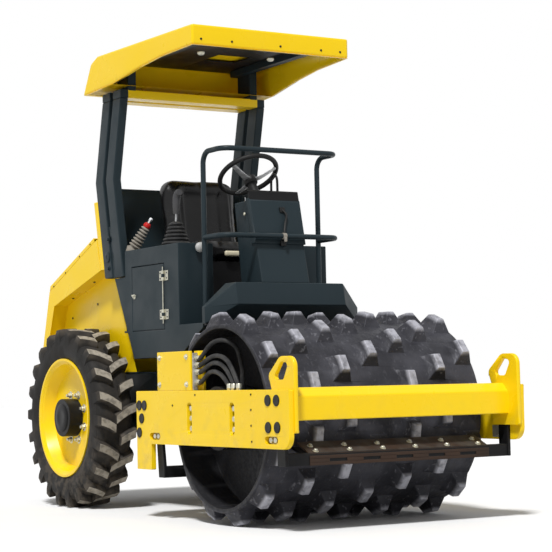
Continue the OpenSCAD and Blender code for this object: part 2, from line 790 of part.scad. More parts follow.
// Hood: side panels with wheel arches, inner walls and a louvred rear panel
fender_front_z = 1306;
fender_back_a = -448;
fender_back_z = 1137;
slope_top_a = 128;
slope_top_z = 1506;
slope_low_a = -502;
slope_low_z = 1257;
hood_low_z = 780;
strip_l = 58;
lid_flange = 24;
lid_gap = 3;
arch_front_a = 425;
arch_start_share = 0.03;
lip = 2;
bulkhead_t = 45;
bulkhead_z = 1690;
louvre_h = 16;
louvre_pitch = 44;
louvre_half = 250;
louvre_count = 7;

hood_front_a = post_back(fender_front_z) - bulkhead_t - seat_gap;
slope_len = norm([slope_top_a - slope_low_a, slope_top_z - slope_low_z]);
// Along the slope towards the rear, and away from the hood
slope_dir = [slope_low_a - slope_top_a, slope_low_z - slope_top_z] / slope_len;
slope_out = [slope_dir.y, -slope_dir.x];
function on_slope(share, depth) =
    [ahead_a(slope_top_a), slope_top_z] + slope_dir * slope_len * share - slope_out * depth;
rear_dir = unit([slope_low_a + hood_back, slope_low_z - hood_low_z]);
// Length down the rear panel for a depth below the slope
function down_rear(depth) = [ahead_a(slope_low_a), slope_low_z]
    - rear_dir * depth / abs(slope_dir.x * rear_dir.y - slope_dir.y * rear_dir.x);

module hood() {
    front = [ahead_a(hood_front_a), fender_front_z];
    crook = [ahead_a(fender_back_a), fender_back_z];
    rear_foot = [ahead_a(-hood_back), hood_low_z];
    heel = rear_foot + [strip_l, 0];
    top = on_slope(0, lid_flange + lid_gap);
    rear_knee = down_rear(lid_flange + lid_gap);
    arch = [front + (crook - front) * arch_start_share + [0, lip], crook + [-lip, lip], heel + [-lip, lip]];
    arch_out = [arch[0] + [0, sheet_t], arch[1] + [-sheet_t, sheet_t], arch[2] + [-sheet_t, 0]];
    wall = (arch + arch_out) / 2;
    wall_foot = wall[1] + (heel - crook) * (wall[1].y - deck_z) / (crook.y - heel.y);
    rear = [rear_knee + [lip, 0] - rear_dir * lip, rear_foot + [lip, lip]];
    color(yellow) {
        both_sides() {
            sheet_xz([front, top, rear_knee, rear_foot, heel, crook], -hood_half, sheet_t);
            // Roof and rear of the wheel arch
            sheet_xz([arch[0], arch[1], arch[2], arch_out[2], arch_out[1], arch_out[0]],
                -hood_half + sheet_t / 2, hood_half - inner_half);
            // Inner wall of the arch
            sheet_xz([[ahead_a(arch_front_a), deck_z], wall[0], wall[1], wall_foot], -inner_half, sheet_t);
        }
        difference() {
            sheet_xz([rear[0], rear[1], rear[1] + [sheet_t, 0], rear[0] + [sheet_t, 0]],
                -hood_half + sheet_t / 2, 2 * hood_half - sheet_t);
            for (i = [1:louvre_count])
                block([ahead_a(-hood_back) - overrun, -louvre_half, hood_low_z + i * louvre_pitch],
                    [ahead_a(slope_low_a) + strip_l, louvre_half, hood_low_z + i * louvre_pitch + louvre_h]);
        }
    }
}

// Lid of the hood, hinged at its front edge
lid_front_share = 0.055;
lid_pin_share = 0.018;
lid_pin_r = 7;
lid_knuckle_r = 14;
lid_knuckle_l = 60;
lid_knuckle_y = 250;
lid_ear_t = 10;
lid_pin_at = on_slope(lid_pin_share, 0);

module hood_lid() {
    front = on_slope(lid_front_share, 0);
    front_in = on_slope(lid_front_share, sheet_t);
    knee = on_slope(1, 0);
    knee_in = on_slope(1, sheet_t);
    foot = down_rear(lid_flange);
    color(yellow) {
        sheet_xz([front, knee, foot, foot + [sheet_t, 0], knee_in + [sheet_t / 2, 0], front_in],
            -hood_half + sheet_t - seat_gap, 2 * (hood_half - sheet_t + seat_gap));
        both_sides() {
            sheet_xz([front, knee, foot, on_slope(lid_front_share, lid_flange)], -hood_half, sheet_t);
            difference() {
                union() {
                    bar_y(lid_knuckle_r, lid_pin_at.x, -lid_knuckle_y - lid_knuckle_l / 2,
                        -lid_knuckle_y + lid_knuckle_l / 2, lid_pin_at.y);
                    sheet_xz([lid_pin_at, on_slope(2 * lid_front_share, 0),
                        on_slope(2 * lid_front_share, sheet_t), on_slope(lid_pin_share, sheet_t)],
                        -lid_knuckle_y - lid_knuckle_l / 2, lid_knuckle_l);
                }
                bar_y(lid_pin_r + run_gap, lid_pin_at.x, -lid_knuckle_y - lid_knuckle_l,
                    -lid_knuckle_y + lid_knuckle_l, lid_pin_at.y);
            }
        }
    }
}
// Ears and pins on the wall behind the driver that carry the lid
module lid_ears() {
    wall_x = ahead_a(post_back(lid_pin_at.y) - bulkhead_t) + overrun;
    for (y = [-lid_knuckle_y - lid_knuckle_l / 2 - seat_gap - lid_ear_t,
        -lid_knuckle_y + lid_knuckle_l / 2 + seat_gap]) {
        bar_y(lid_knuckle_r, lid_pin_at.x, y, y + lid_ear_t, lid_pin_at.y);
        block([lid_pin_at.x, y, lid_pin_at.y - lid_knuckle_r],
            [wall_x, y + lid_ear_t, lid_pin_at.y + lid_knuckle_r]);
    }
    bar_y(lid_pin_r, lid_pin_at.x, -lid_knuckle_y - lid_knuckle_l / 2 - lid_ear_t,
        -lid_knuckle_y + lid_knuckle_l / 2 + lid_ear_t, lid_pin_at.y);
}

// Wall behind the driver
module bulkhead() {
    foot_z = fender_front_z;
    color(yellow) both_sides() lid_ears();
    color(yellow) sheet_xz([[ahead_a(post_back(foot_z) - seat_gap), foot_z],
        [ahead_a(post_back(bulkhead_z) - seat_gap), bulkhead_z],
        [ahead_a(post_back(bulkhead_z) - bulkhead_t), bulkhead_z],
        [ahead_a(post_back(foot_z) - bulkhead_t), foot_z]], -hood_half, 2 * hood_half);
    color(yellow) block([ahead_a(post_back(foot_z) - bulkhead_t), -inner_half + sheet_t + seat_gap, deck_z],
        [ahead_a(post_back(foot_z) - seat_gap), inner_half - sheet_t - seat_gap, foot_z]);
}

// Driver's floor and the box at its front
floor_back_a = 440;
// Sizes of the front, kept clear of the drum at full lock
floor_over = 84;
floor_short = drum_r - floor_over;
floor_front_a = wheelbase - floor_short;
nose_half = 319;
nose_l = 126;
nose_lean = 21;
nose_low_a = floor_front_a + nose_l;
nose_top_a = nose_low_a - nose_lean;
nose_low_z = 1057;
nose_top_z = 1170;
wing_l = 32;
wing_front_a = floor_front_a + wing_l;
wing_z = 1050;
wing_low_z = floor_z + sheet_t;

module floor() {
    color(slate) block([ahead_a(floor_back_a), -platform_half + sheet_t + seat_gap, floor_z - floor_t],
        [ahead_a(floor_front_a), platform_half - sheet_t - seat_gap, floor_z]);
}
// The nose as a convex block, drawn in by a wall's thickness
module nose(wall) {
    back = ahead_a(floor_front_a) - (wall > 0 ? overrun : 0);
    half = nose_half - wall;
    wide = platform_half + sheet_t - wall;
    low = wall > 0 ? overrun : 0;
    hull() {
        translate([back, -half, nose_low_z - low])
            cube([ahead_a(nose_low_a) - wall - back, 2 * half, low + sheet_t]);
        translate([back, -half, nose_top_z - wall - sheet_t])
            cube([ahead_a(nose_top_a) - wall - back, 2 * half, sheet_t]);
        translate([back, -wide, wing_low_z - low])
            cube([ahead_a(wing_front_a) - wall - back, 2 * wide, wing_z - wall - wing_low_z + low]);
    }
}
module front_box() {
    color(slate) difference() {
        nose(0);
        nose(sheet_t);
    }
}

// Boxes beside the seat, each with a side panel that reaches down past the floor
console_back_a = 468;
console_short = 250;
console_front_a = floor_front_a - console_short;
sill_z = 973;
skirt_z = 808;
skirt_back_a = 563;
skirt_short = 255;
skirt_front_a = floor_front_a - skirt_short;
door_back_a = 551;
door_low_z = 953;
panel_low_a = 341;
panel_low_z = 1250;
door_gap = 4;

module side_box() {
    x0 = ahead_a(console_back_a);
    x1 = ahead_a(console_front_a);
    front_x = ahead_a(floor_front_a);
    in_y = -platform_half + console_w;
    side = [[ahead_a(panel_low_a), panel_low_z], [x0, panel_low_z], [x0, console_z], [x1, console_z],
        [x1, sill_z], [front_x, sill_z], [front_x, floor_z - floor_t], [ahead_a(skirt_front_a), skirt_z],
        [ahead_a(skirt_back_a), skirt_z]];
    hole = rectangle([ahead_a(door_back_a), door_low_z],
        [ahead_a(door_back_a) + door_l, door_low_z + door_h]);
    color(slate) {
        frame_xz(side, hole, -platform_half, sheet_t);
        block([x0, -platform_half + overrun, console_z - sheet_t], [x1, in_y, console_z]);
        block([x0, in_y - sheet_t, floor_z], [x1, in_y, console_z - seat_gap]);
        block([x1 - sheet_t, -platform_half + overrun, floor_z], [x1, in_y, console_z - seat_gap]);
        block([x0, -platform_half + overrun, floor_z], [x0 + sheet_t, in_y, console_z - seat_gap]);
    }
}
module side_box_right() {
    side_box();
}
module side_box_left() {
    mirror([0, 1, 0]) side_box();
}

// Side doors and their hinges
hinge_r = 8;
knuckle_gap = 1;
hinge_pin_r = 4;
hinge_leaf_l = 32;
hinge_leaf_t = 3;
hinge_h = 52;
hinge_low_share = 0.15;
hinge_high_share = 0.73;
hinge_x = ahead_a(door_back_a + door_l);
hinge_y = -platform_half - hinge_r;
knuckle_h = hinge_h / 3;
hinge_levels = [for (s = [hinge_low_share, hinge_high_share]) door_low_z + s * door_h];

module hinge_leaf(z, h, way) {
    x0 = min(hinge_x, hinge_x + way * hinge_leaf_l);
    block([x0, -platform_half - hinge_leaf_t, z], [x0 + hinge_leaf_l, -platform_half, z + h]);
}
module fixed_hinge(z) {
    difference() {
        hinge_leaf(z, hinge_h, 1);
        bar_z(hinge_r + knuckle_gap, hinge_x, hinge_y, z + knuckle_h - seat_gap,
            z + 2 * knuckle_h + seat_gap);
    }
    for (low = [z, z + 2 * knuckle_h])
        bar_z(hinge_r, hinge_x, hinge_y, low, low + knuckle_h);
    bar_z(hinge_pin_r, hinge_x, hinge_y, z, z + hinge_h);
}
module door_hinges() {
    color(zinc) both_sides() for (z = hinge_levels)
        fixed_hinge(z);
}
module door() {
    color(slate) {
        block([ahead_a(door_back_a) + door_gap, -platform_half, door_low_z + door_gap],
            [hinge_x - door_gap, -platform_half + sheet_t, door_low_z + door_h - door_gap]);
        for (z = hinge_levels) difference() {
            union() {
                bar_z(hinge_r, hinge_x, hinge_y, z + knuckle_h + seat_gap, z + 2 * knuckle_h - seat_gap);
                block([hinge_x - hinge_leaf_l, -platform_half - hinge_leaf_t, z + knuckle_h + seat_gap],
                    [hinge_x, -platform_half - seat_gap, z + 2 * knuckle_h - seat_gap]);
                block([hinge_x - hinge_leaf_l, -platform_half - hinge_leaf_t, z + knuckle_h + seat_gap],
                    [hinge_x - 2 * hinge_r, -platform_half + seat_gap, z + 2 * knuckle_h - seat_gap]);
            }
            bar_z(hinge_pin_r + run_gap, hinge_x, hinge_y, z, z + hinge_h);
        }
    }
}
module door_right() {
    door();
}
module door_left() {
    mirror([0, 1, 0]) door();
}

// Seat on its box
seat_box_front_a = 860;
seat_box_z = 1320;
shelf_front_a = 420;
cushion_back_a = 440;
cushion_front_a = 880;
cushion_h = 105;
back_foot_a = 575;
back_lean = 70;
back_t = 90;
seat_top_z = 1800;
seat_round = 40;
seat_box_half = platform_half - console_w - seat_gap;

module seat_box() {
    color(dark) {
        block([ahead_a(console_back_a), -seat_box_half, floor_z],
            [ahead_a(seat_box_front_a), seat_box_half, seat_box_z]);
        block([ahead_a(post_back(fender_front_z)), -inner_half + sheet_t + seat_gap, floor_z],
            [ahead_a(console_back_a) - seat_gap, inner_half - sheet_t - seat_gap, console_z]);
    }
}
module seat_cushion() {
    color(dark) translate([0, 0, seat_box_z + seat_gap]) linear_extrude(cushion_h)
        polygon(all_corners(rectangle([ahead_a(back_foot_a) + seat_gap, -seat_half],
            [ahead_a(cushion_front_a), seat_half]), seat_round));
}
module seat_back() {
    foot_z = seat_box_z + seat_gap;
    foot_x = ahead_a(back_foot_a);
    top_x = foot_x - back_lean;
    slab = [[foot_x - back_t, foot_z], [foot_x, foot_z], [top_x, seat_top_z], [top_x - back_t, seat_top_z]];
    color(dark) intersection() {
        sheet_xz(rounded(slab, [0, 0, seat_round, seat_round]), -seat_half, 2 * seat_half);
        sheet_yz(rounded(rectangle([-seat_half, foot_z], [seat_half, seat_top_z]),
            [0, 0, 2 * seat_round, 2 * seat_round]), top_x - 2 * back_t, 4 * back_t);
    }
}

// Instrument stand, steering column and wheel
dash_set = 30;
dash_lean = 107;
dash_top_l = 168;
dash_foot_l = 190;
dash_foot_a = nose_top_a - dash_set;
dash_top_a = dash_foot_a - dash_lean;
dash_back_a = dash_top_a - dash_top_l;
dash_heel_a = dash_foot_a - dash_foot_l;
dash_drop = 14;
dash_top_r = 24;
// Cover over the upper part of the stand's front
dash_cover_t = 8;
dash_cover_l = 46;
dash_cover_z = 1372;
column_r = 24;
column_shaft_r = 11;
column_l = 150;
wheel_back = 94;
wheel_rise = 153;
wheel_a = dash_back_a - wheel_back;
wheel_z = dash_z + wheel_rise;
wheel_tilt = 33;
wheel_rim_r = 13;
wheel_dish = 46;
wheel_hub_r = 34;
wheel_hub_h = 40;
spoke_w = 26;
spoke_t = 10;
spokes = 3;
spoke_start = 60;
shaft_share = 0.8;
// Top of the column below the wheel's middle
column_foot = wheel_dish + wheel_hub_h / 2 + seat_gap;

module dash() {
    back_x = ahead_a(floor_front_a) - seat_gap;
    foot_z = nose_top_z + seat_gap;
    foot = [ahead_a(dash_foot_a), foot_z];
    top = [ahead_a(dash_top_a), dash_z];
    step = foot + (top - foot) * (dash_cover_z - foot_z) / (dash_z - foot_z);
    half = dash_w / 2 - dash_cover_t;
    color(slate) {
        difference() {
            sheet_xz([foot - [dash_cover_t, 0], top - [dash_cover_t, dash_cover_t],
                [ahead_a(dash_back_a), dash_z - dash_drop],
                [ahead_a(dash_heel_a), floor_z], [back_x, floor_z], [back_x, foot_z]], -half, 2 * half);
            on_column() translate([0, 0, -column_foot - column_l - seat_gap])
                cylinder(r = column_r + seat_gap, h = 2 * column_l);
        }
        sheet_xz(rounded([step, top, top - [dash_cover_l, 0], step - [dash_cover_l, 0]],
            [0, dash_top_r, 0, 0]),
            -dash_w / 2, dash_w);
    }
}
// Turns a shape made round Z onto the steering column, at the wheel's middle
module on_column() {
    translate([ahead_a(wheel_a), 0, wheel_z]) rotate([0, -wheel_tilt, 0]) children();
}
module steering_column() {
    color(dark) on_column() translate([0, 0, -column_foot - column_l]) {
        cylinder(r = column_r, h = column_l);
        cylinder(r = column_shaft_r, h = column_l + wheel_hub_h * shaft_share);
    }
}
module steering_wheel() {
    hub_low = -wheel_dish - wheel_hub_h / 2;
    reach = wheel_r - wheel_rim_r;
    color(dark) on_column() {
        rotate_extrude($fn = 72) translate([reach, 0]) circle(r = wheel_rim_r);
        difference() {
            union() {
                translate([0, 0, hub_low]) cylinder(r = wheel_hub_r, h = wheel_hub_h);
                for (i = [0:spokes - 1]) rotate(i * 360 / spokes + spoke_start)
                    sheet_xz([[0, hub_low + wheel_hub_h / 2], [wheel_hub_r, hub_low + wheel_hub_h / 2],
                        [reach, -spoke_t], [reach, 0], [wheel_hub_r, hub_low + wheel_hub_h / 2 + spoke_t],
                        [0, hub_low + wheel_hub_h / 2 + spoke_t]], -spoke_w / 2, spoke_w);
            }
            translate([0, 0, hub_low - overrun])
                cylinder(r = column_shaft_r + run_gap, h = wheel_hub_h * (shaft_share + 1) / 2 + overrun);
        }
    }
}

// Hand rail round the front of the driver's place
rail_post_back = 161;
rail_l = 203;
rail_post_a = floor_front_a - rail_post_back;
rail_front_a = rail_post_a + rail_l;
rail_y_half = 345;
rail_mid_z = 1412;
rail_bend = 62;

// A quarter bend in the plane that turns X and Y
module quarter_bend() {
    rotate_extrude(angle = 90) translate([rail_bend, 0]) circle(r = rail_r);
}
module rail_loop(z, from_x) {
    front_x = ahead_a(rail_front_a);
    bar_y(rail_r, front_x, -rail_y_half + rail_bend, rail_y_half - rail_bend, z);
    both_sides() {
        translate([front_x - rail_bend, -rail_y_half + rail_bend, z]) rotate(-90) quarter_bend();
        bar_x(rail_r, from_x, front_x - rail_bend, -rail_y_half, z);
    }
}
module handrail() {
    post_x = ahead_a(rail_post_a);
    color(slate) {
        rail_loop(rail_z, post_x + rail_bend);
        rail_loop(rail_mid_z, post_x);
        both_sides() {
            bar_z(rail_r, post_x, -rail_y_half, floor_z, rail_z - rail_bend);
            translate([post_x + rail_bend, -rail_y_half, rail_z - rail_bend]) rotate([90, 0, 0])
                rotate(90) quarter_bend();
        }
    }
}

// Roof shell, open below, and the frame that carries it
roof_t = 12;
roof_low_shares = [[0, 0], [0.27, 0.11], [0.45, 0.34], [0.705, 0.82]];
roof_front_h = 105;
roof_drop = 92;
roof_back_a = 128;
roof_crown_a = 300;
roof_shoulder_a = 222;
roof_shoulder_drop = 32;
roof_beam_h = 46;
roof_rail_w = 50;
roof_rail_inset = 60;

function roof_half(a) = roof_back_half
    + (roof_front_half - roof_back_half) * (a - roof_back_a) / (roof_front_a - roof_back_a);
module roof_form(wall, drop) {
    low = roof_z - roof_front_h;
    length = roof_front_a - roof_back_a;
    edge = [for (s = roof_low_shares)
        [ahead_a(roof_front_a - wall - s[0] * length), low - s[1] * roof_drop - drop]];
    back_z = low - roof_drop - drop;
    side = concat(edge, [[ahead_a(roof_back_a + wall), back_z],
        [ahead_a(roof_shoulder_a + wall), roof_z - roof_shoulder_drop - wall],
        [ahead_a(roof_crown_a + wall), roof_z - wall], [ahead_a(roof_front_a - wall), roof_z - wall]]);
    plan = [for (p = [[roof_back_a + wall, -1], [roof_front_a - wall, -1],
        [roof_front_a - wall, 1], [roof_back_a + wall, 1]])
        [ahead_a(p[0]), p[1] * (roof_half(p[0]) - wall)]];
    intersection() {
        sheet_xz(side, -roof_back_half, 2 * roof_back_half);
        translate([0, 0, roof_z - 3 * roof_front_h]) linear_extrude(4 * roof_front_h) polygon(plan);
    }
}
module roof() {
    color(yellow) difference() {
        roof_form(0, 0);
        roof_form(roof_t, roof_front_h);
    }
}
module roof_frame() {
    beam_z = post_head_z + seat_gap;
    rail_x0 = ahead_a(roof_crown_a + 2 * roof_t);
    rail_x1 = ahead_a(roof_front_a - roof_rail_inset);
    high = roof_z - roof_t;
    color(slate) {
        for (shift = [0, post_l + post_gap])
            block([ahead_a(post_top_a + shift), -post_out, beam_z],
                [ahead_a(post_top_a + shift + post_l), post_out, beam_z + roof_beam_h]);
        both_sides() {
            block([rail_x0, -post_out + post_w, beam_z + roof_beam_h],
                [ahead_a(post_top_a + 2 * post_l + post_gap), -post_out + 2 * post_w, high]);
            block([rail_x0, -post_out + 2 * post_w, high - roof_rail_w],
                [rail_x1, -post_out + 3 * post_w, high]);
        }
        block([rail_x1 - roof_rail_w, -post_out + post_w, high - roof_rail_w],
            [rail_x1, post_out - post_w, high]);
    }
}

// Levers on the right box
lever_a = 836;
lever_y = -330;
boot_r = 75;
boot_h = 102;
boot_top_share = 0.44;
lever_r = 8;
lever_lean = 4;
grip_r = 17;
grip_h = 105;
lever_h = 290;
brake_a = 507.5;
brake_y_place = -405;
gaiter_r = 34;
gaiter_h = 138;
gaiter_lean = 28;
gaiter_turn = 49;
knob_r = 19;

module travel_lever() {
    color(dark) translate([ahead_a(lever_a), lever_y, console_z]) {
        cylinder(r1 = boot_r, r2 = boot_top_share * boot_r, h = boot_h);
        rotate([0, lever_lean, 0]) {
            translate([0, 0, boot_h / 2]) cylinder(r = lever_r, h = lever_h - grip_h - boot_h / 2);
            translate([0, 0, lever_h - grip_h]) cylinder(r = grip_r, h = grip_h);
        }
    }
}
module brake_lever() {
    color(cream) translate([ahead_a(brake_a), brake_y_place, console_z]) rotate(gaiter_turn)
        rotate([0, gaiter_lean, 0]) difference() {
            union() {
                translate([0, 0, -gaiter_r]) cylinder(r = gaiter_r, h = gaiter_h + gaiter_r);
                translate([0, 0, gaiter_h]) cylinder(r = knob_r / 2, h = 2 * knob_r);
                translate([0, 0, gaiter_h + 2 * knob_r]) sphere(r = knob_r);
            }
            rotate([0, -gaiter_lean, 0]) translate([-gaiter_h, -gaiter_h, -gaiter_h])
                cube([2 * gaiter_h, 2 * gaiter_h, gaiter_h]);
        }
}

// Steering cylinder on the left, from the chassis to a fork on the rear beam
module steer_barrel() {
    color(dark) difference() {
        union() {
            bar_z(cylinder_eye_r, cylinder_x, cylinder_y, cylinder_z - cylinder_eye_h / 2,
                cylinder_z + cylinder_eye_h / 2);
            bar_x(barrel_r, cylinder_x + cylinder_eye_r + barrel_gap, cylinder_x + barrel_l,
                cylinder_y, cylinder_z);
            bar_x(cylinder_eye_h / 2, cylinder_x, cylinder_x + 2 * cylinder_eye_r, cylinder_y, cylinder_z);
        }
        bar_z(cylinder_pin_r + run_gap, cylinder_x, cylinder_y, cylinder_z - cylinder_eye_h,
            cylinder_z + cylinder_eye_h);
        bar_x(rod_r + run_gap, cylinder_x + 2 * cylinder_eye_r, cylinder_x + barrel_l + overrun,
            cylinder_y, cylinder_z);
    }
}
module steer_rod() {
    color(zinc) {
        bar_x(rod_r, cylinder_x + barrel_l - rod_reach, fork_x, cylinder_y, cylinder_z);
        bar_z(cylinder_eye_r, fork_x, cylinder_y, cylinder_z - cylinder_eye_h / 2,
            cylinder_z + cylinder_eye_h / 2);
    }
}

chassis();
pivot_pin();
axle();
engine();
hood();
bulkhead();
floor();
front_box();
side_box_right();
side_box_left();
door_hinges();
seat_box();
seat_cushion();
seat_back();
dash();
steering_column();
handrail();
rops();
roof_frame();
roof();
travel_lever();
brake_lever();
side_plate_right();
side_plate_left();
front_bar();
rear_beam();
drum_mounts();
front_scraper();
rear_scraper();
valve_block();
valve_cover();
hoses();
drum();
tyre_right();
rim_right();
hub_right();
tyre_left();
rim_left();
hub_left();
door_right();
door_left();
hood_lid();
steering_wheel();
steer_barrel();
steer_rod();
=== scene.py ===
"""Finishes and fittings of a single-drum road roller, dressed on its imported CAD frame."""

import json
import math

import bmesh
import bpy
from mathutils import Matrix, Vector
from mathutils.bvhtree import BVHTree

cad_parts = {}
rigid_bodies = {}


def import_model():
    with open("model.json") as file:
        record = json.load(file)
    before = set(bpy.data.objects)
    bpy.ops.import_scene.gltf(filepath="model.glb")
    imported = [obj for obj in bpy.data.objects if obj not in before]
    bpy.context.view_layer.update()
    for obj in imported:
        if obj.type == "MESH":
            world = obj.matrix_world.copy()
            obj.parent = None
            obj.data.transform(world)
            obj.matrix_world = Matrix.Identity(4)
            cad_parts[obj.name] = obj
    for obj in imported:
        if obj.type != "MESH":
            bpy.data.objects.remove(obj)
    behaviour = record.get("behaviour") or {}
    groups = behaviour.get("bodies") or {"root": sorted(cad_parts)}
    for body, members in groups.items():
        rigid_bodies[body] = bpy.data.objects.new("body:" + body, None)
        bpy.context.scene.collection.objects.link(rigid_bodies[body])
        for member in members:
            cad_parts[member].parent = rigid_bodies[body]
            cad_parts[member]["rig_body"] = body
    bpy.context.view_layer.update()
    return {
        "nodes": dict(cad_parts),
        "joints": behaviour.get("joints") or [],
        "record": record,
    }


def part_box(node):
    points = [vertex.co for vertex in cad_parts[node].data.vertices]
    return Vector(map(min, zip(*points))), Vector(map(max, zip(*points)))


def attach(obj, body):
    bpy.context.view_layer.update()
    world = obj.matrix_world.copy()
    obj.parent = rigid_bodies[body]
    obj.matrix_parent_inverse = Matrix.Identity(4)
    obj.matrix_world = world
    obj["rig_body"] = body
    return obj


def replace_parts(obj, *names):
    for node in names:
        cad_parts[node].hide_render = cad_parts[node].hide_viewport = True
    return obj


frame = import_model()

NODES = frame["nodes"]
JOINTS = {joint["name"]: joint for joint in frame["joints"]}
SLOT_OF = {row["node"]: row["material_slot"] for row in frame["record"]["subparts"]}
DRUM = Vector(JOINTS["drum_spin"]["pos_m"])
AXLE = Vector(JOINTS["wheel_right_spin"]["pos_m"])
WHEEL = Vector(JOINTS["steering_wheel_turn"]["pos_m"])
WHEEL_AXIS = Vector(JOINTS["steering_wheel_turn"]["axis"])
SIDES = (("right", -1), ("left", 1))
AHEAD, ACROSS, UP = (1, 0, 0), (0, 1, 0), (0, 0, 1)
DRUM_R, WHEEL_R = DRUM.z, AXLE.z
PLATE_IN, PLATE_OUT = (corner.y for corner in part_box("side_plate_left"))
WELD, THIN_EDGE = 1e-5, 0.001
FLAT_ANGLE, EDGE_ANGLE, CAD_ANGLE = math.radians(0.6), math.radians(28), math.radians(30)


def srgb(red, green, blue):
    """The linear colour of a screen colour given as 0 to 255."""
    def linear(value):
        value /= 255
        return value / 12.92 if value <= 0.04045 else ((value + 0.055) / 1.055) ** 2.4
    return (linear(red), linear(green), linear(blue), 1.0)


def seen_straight(nodes, links):
    """One for what is seen straight, in gloss or through glass, and nothing for bounced light."""
    path = nodes.new("ShaderNodeLightPath").outputs
    total = path["Is Camera Ray"]
    for kind in ("Is Glossy Ray", "Is Transmission Ray"):
        made = nodes.new("ShaderNodeMath")
        made.operation = "ADD"
        made.use_clamp = True
        links.new(total, made.inputs[0])
        links.new(path[kind], made.inputs[1])
        total = made.outputs[0]
    return total


class Finish:
    """A node material built up in layers over row-frame coordinates."""

    def __init__(self, name, color, roughness, metallic=0.0, shine=0.5):
        self.material = bpy.data.materials.new(name)
        self.material.use_nodes = True
        self.nodes = self.material.node_tree.nodes
        self.links = self.material.node_tree.links
        self.shader = self.nodes["Principled BSDF"]
        for socket, value in (("Base Color", color), ("Roughness", roughness),
                              ("Metallic", metallic), ("Specular IOR Level", shine)):
            self.shader.inputs[socket].default_value = value
        spot = self.nodes.new("ShaderNodeTexCoord")
        self.place, self.normal = spot.outputs["Object"], spot.outputs["Normal"]
        self.layer = color
        self.relief = None

    def wire(self, socket, value):
        """Links a socket, or sets it to a plain value."""
        if isinstance(value, bpy.types.NodeSocket):
            self.links.new(value, socket)
        else:
            socket.default_value = value

    def noise(self, scale, detail, place=None):
        made = self.nodes.new("ShaderNodeTexNoise")
        self.wire(made.inputs["Vector"], self.place if place is None else place)
        made.inputs["Scale"].default_value = scale
        made.inputs["Detail"].default_value = detail
        return made.outputs["Fac"]

    def band(self, value, low, high, start=0.0, end=1.0):
        """Goes smoothly from start to end while the value goes from low to high."""
        made = self.nodes.new("ShaderNodeMapRange")
        made.interpolation_type = "SMOOTHSTEP"
        self.wire(made.inputs["Value"], value)
        for socket, number in (("From Min", low), ("From Max", high),
                               ("To Min", start), ("To Max", end)):
            made.inputs[socket].default_value = number
        return made.outputs["Result"]

    def math(self, operation, first, second):
        made = self.nodes.new("ShaderNodeMath")
        made.operation = operation
        self.wire(made.inputs[0], first)
        self.wire(made.inputs[1], second)
        return made.outputs[0]

    def both(self, first, second):
        return self.math("MULTIPLY", first, second)

    def vector(self, operation, first, second):
        made = self.nodes.new("ShaderNodeVectorMath")
        made.operation = operation
        self.wire(made.inputs[0], first)
        self.wire(made.inputs[1], second)
        return made.outputs

    def parts(self, vector):
        made = self.nodes.new("ShaderNodeSeparateXYZ")
        self.links.new(vector, made.inputs[0])
        return made.outputs

    def height(self):
        return self.parts(self.place)["Z"]

    def facing_up(self):
        return self.parts(self.nodes.new("ShaderNodeNewGeometry").outputs["Normal"])["Z"]

    def offset(self, center):
        return self.vector("SUBTRACT", self.place, center)["Vector"]

    def away(self, center):
        """The way out from an axle that runs along Y."""
        return self.vector("MULTIPLY", self.offset(center), (1, 0, 1))["Vector"]

    def radius(self, center):
        """Distance from an axle that runs along Y."""
        return self.vector("LENGTH", self.away(center), (0, 0, 0))["Value"]

    def outward(self, center):
        """How far a face looks away from an axle along Y, from 0 to 1."""
        out = self.vector("NORMALIZE", self.away(center), (0, 0, 0))["Vector"]
        return self.vector("DOT_PRODUCT", out, self.normal)["Value"]

    def rolled(self, center, around):
        """Coordinates that run round an axle along Y, for scuffs that follow the rolling."""
        split = self.parts(self.offset(center))
        made = self.nodes.new("ShaderNodeCombineXYZ")
        turn = self.math("ARCTAN2", split["Z"], split["X"])
        self.links.new(self.both(turn, around), made.inputs["X"])
        self.links.new(split["Y"], made.inputs["Y"])
        self.links.new(self.radius(center), made.inputs["Z"])
        return made.outputs["Vector"]

    def over(self, share, color):
        """Lays a colour over the layers so far where the share is high."""
        made = self.nodes.new("ShaderNodeMix")
        made.data_type = "RGBA"
        self.links.new(share, made.inputs[0])
        self.wire(made.inputs[6], self.layer)
        made.inputs[7].default_value = color
        self.layer = made.outputs[2]
        self.links.new(self.layer, self.shader.inputs["Base Color"])

    def mottle(self, color, scale, detail, share, low=0.4, high=0.7):
        """Lays a colour over in cloudy patches."""
        self.over(self.band(self.noise(scale, detail), low, high, 0.0, share), color)

    def rough(self, value, low, high):
        self.links.new(self.band(value, 0.3, 0.7, low, high), self.shader.inputs["Roughness"])

    def bump(self, height, depth, strength=1.0):
        made = self.nodes.new("ShaderNodeBump")
        made.inputs["Strength"].default_value = strength
        made.inputs["Distance"].default_value = depth
        self.links.new(height, made.inputs["Height"])
        if self.relief is not None:
            self.links.new(self.relief, made.inputs["Normal"])
        self.relief = made.outputs["Normal"]
        self.links.new(self.relief, self.shader.inputs["Normal"])


def yellow_paint():
    paint = Finish("yellow_paint", srgb(253, 212, 8), 0.34, shine=0.32)
    paint.mottle(srgb(254, 217, 22), 1.7, 3, 0.5, 0.35)
    low = paint.band(paint.height(), 0.15, 0.7, 0.35, 0.0)
    dirt = paint.both(paint.band(paint.noise(14, 9), 0.45, 0.72), low)
    paint.over(dirt, srgb(186, 160, 96))
    paint.rough(paint.noise(5, 6), 0.24, 0.4)
    paint.bump(paint.noise(420, 2), 0.00012)
    paint.bump(paint.noise(6, 2), 0.0015, 0.3)
    return paint


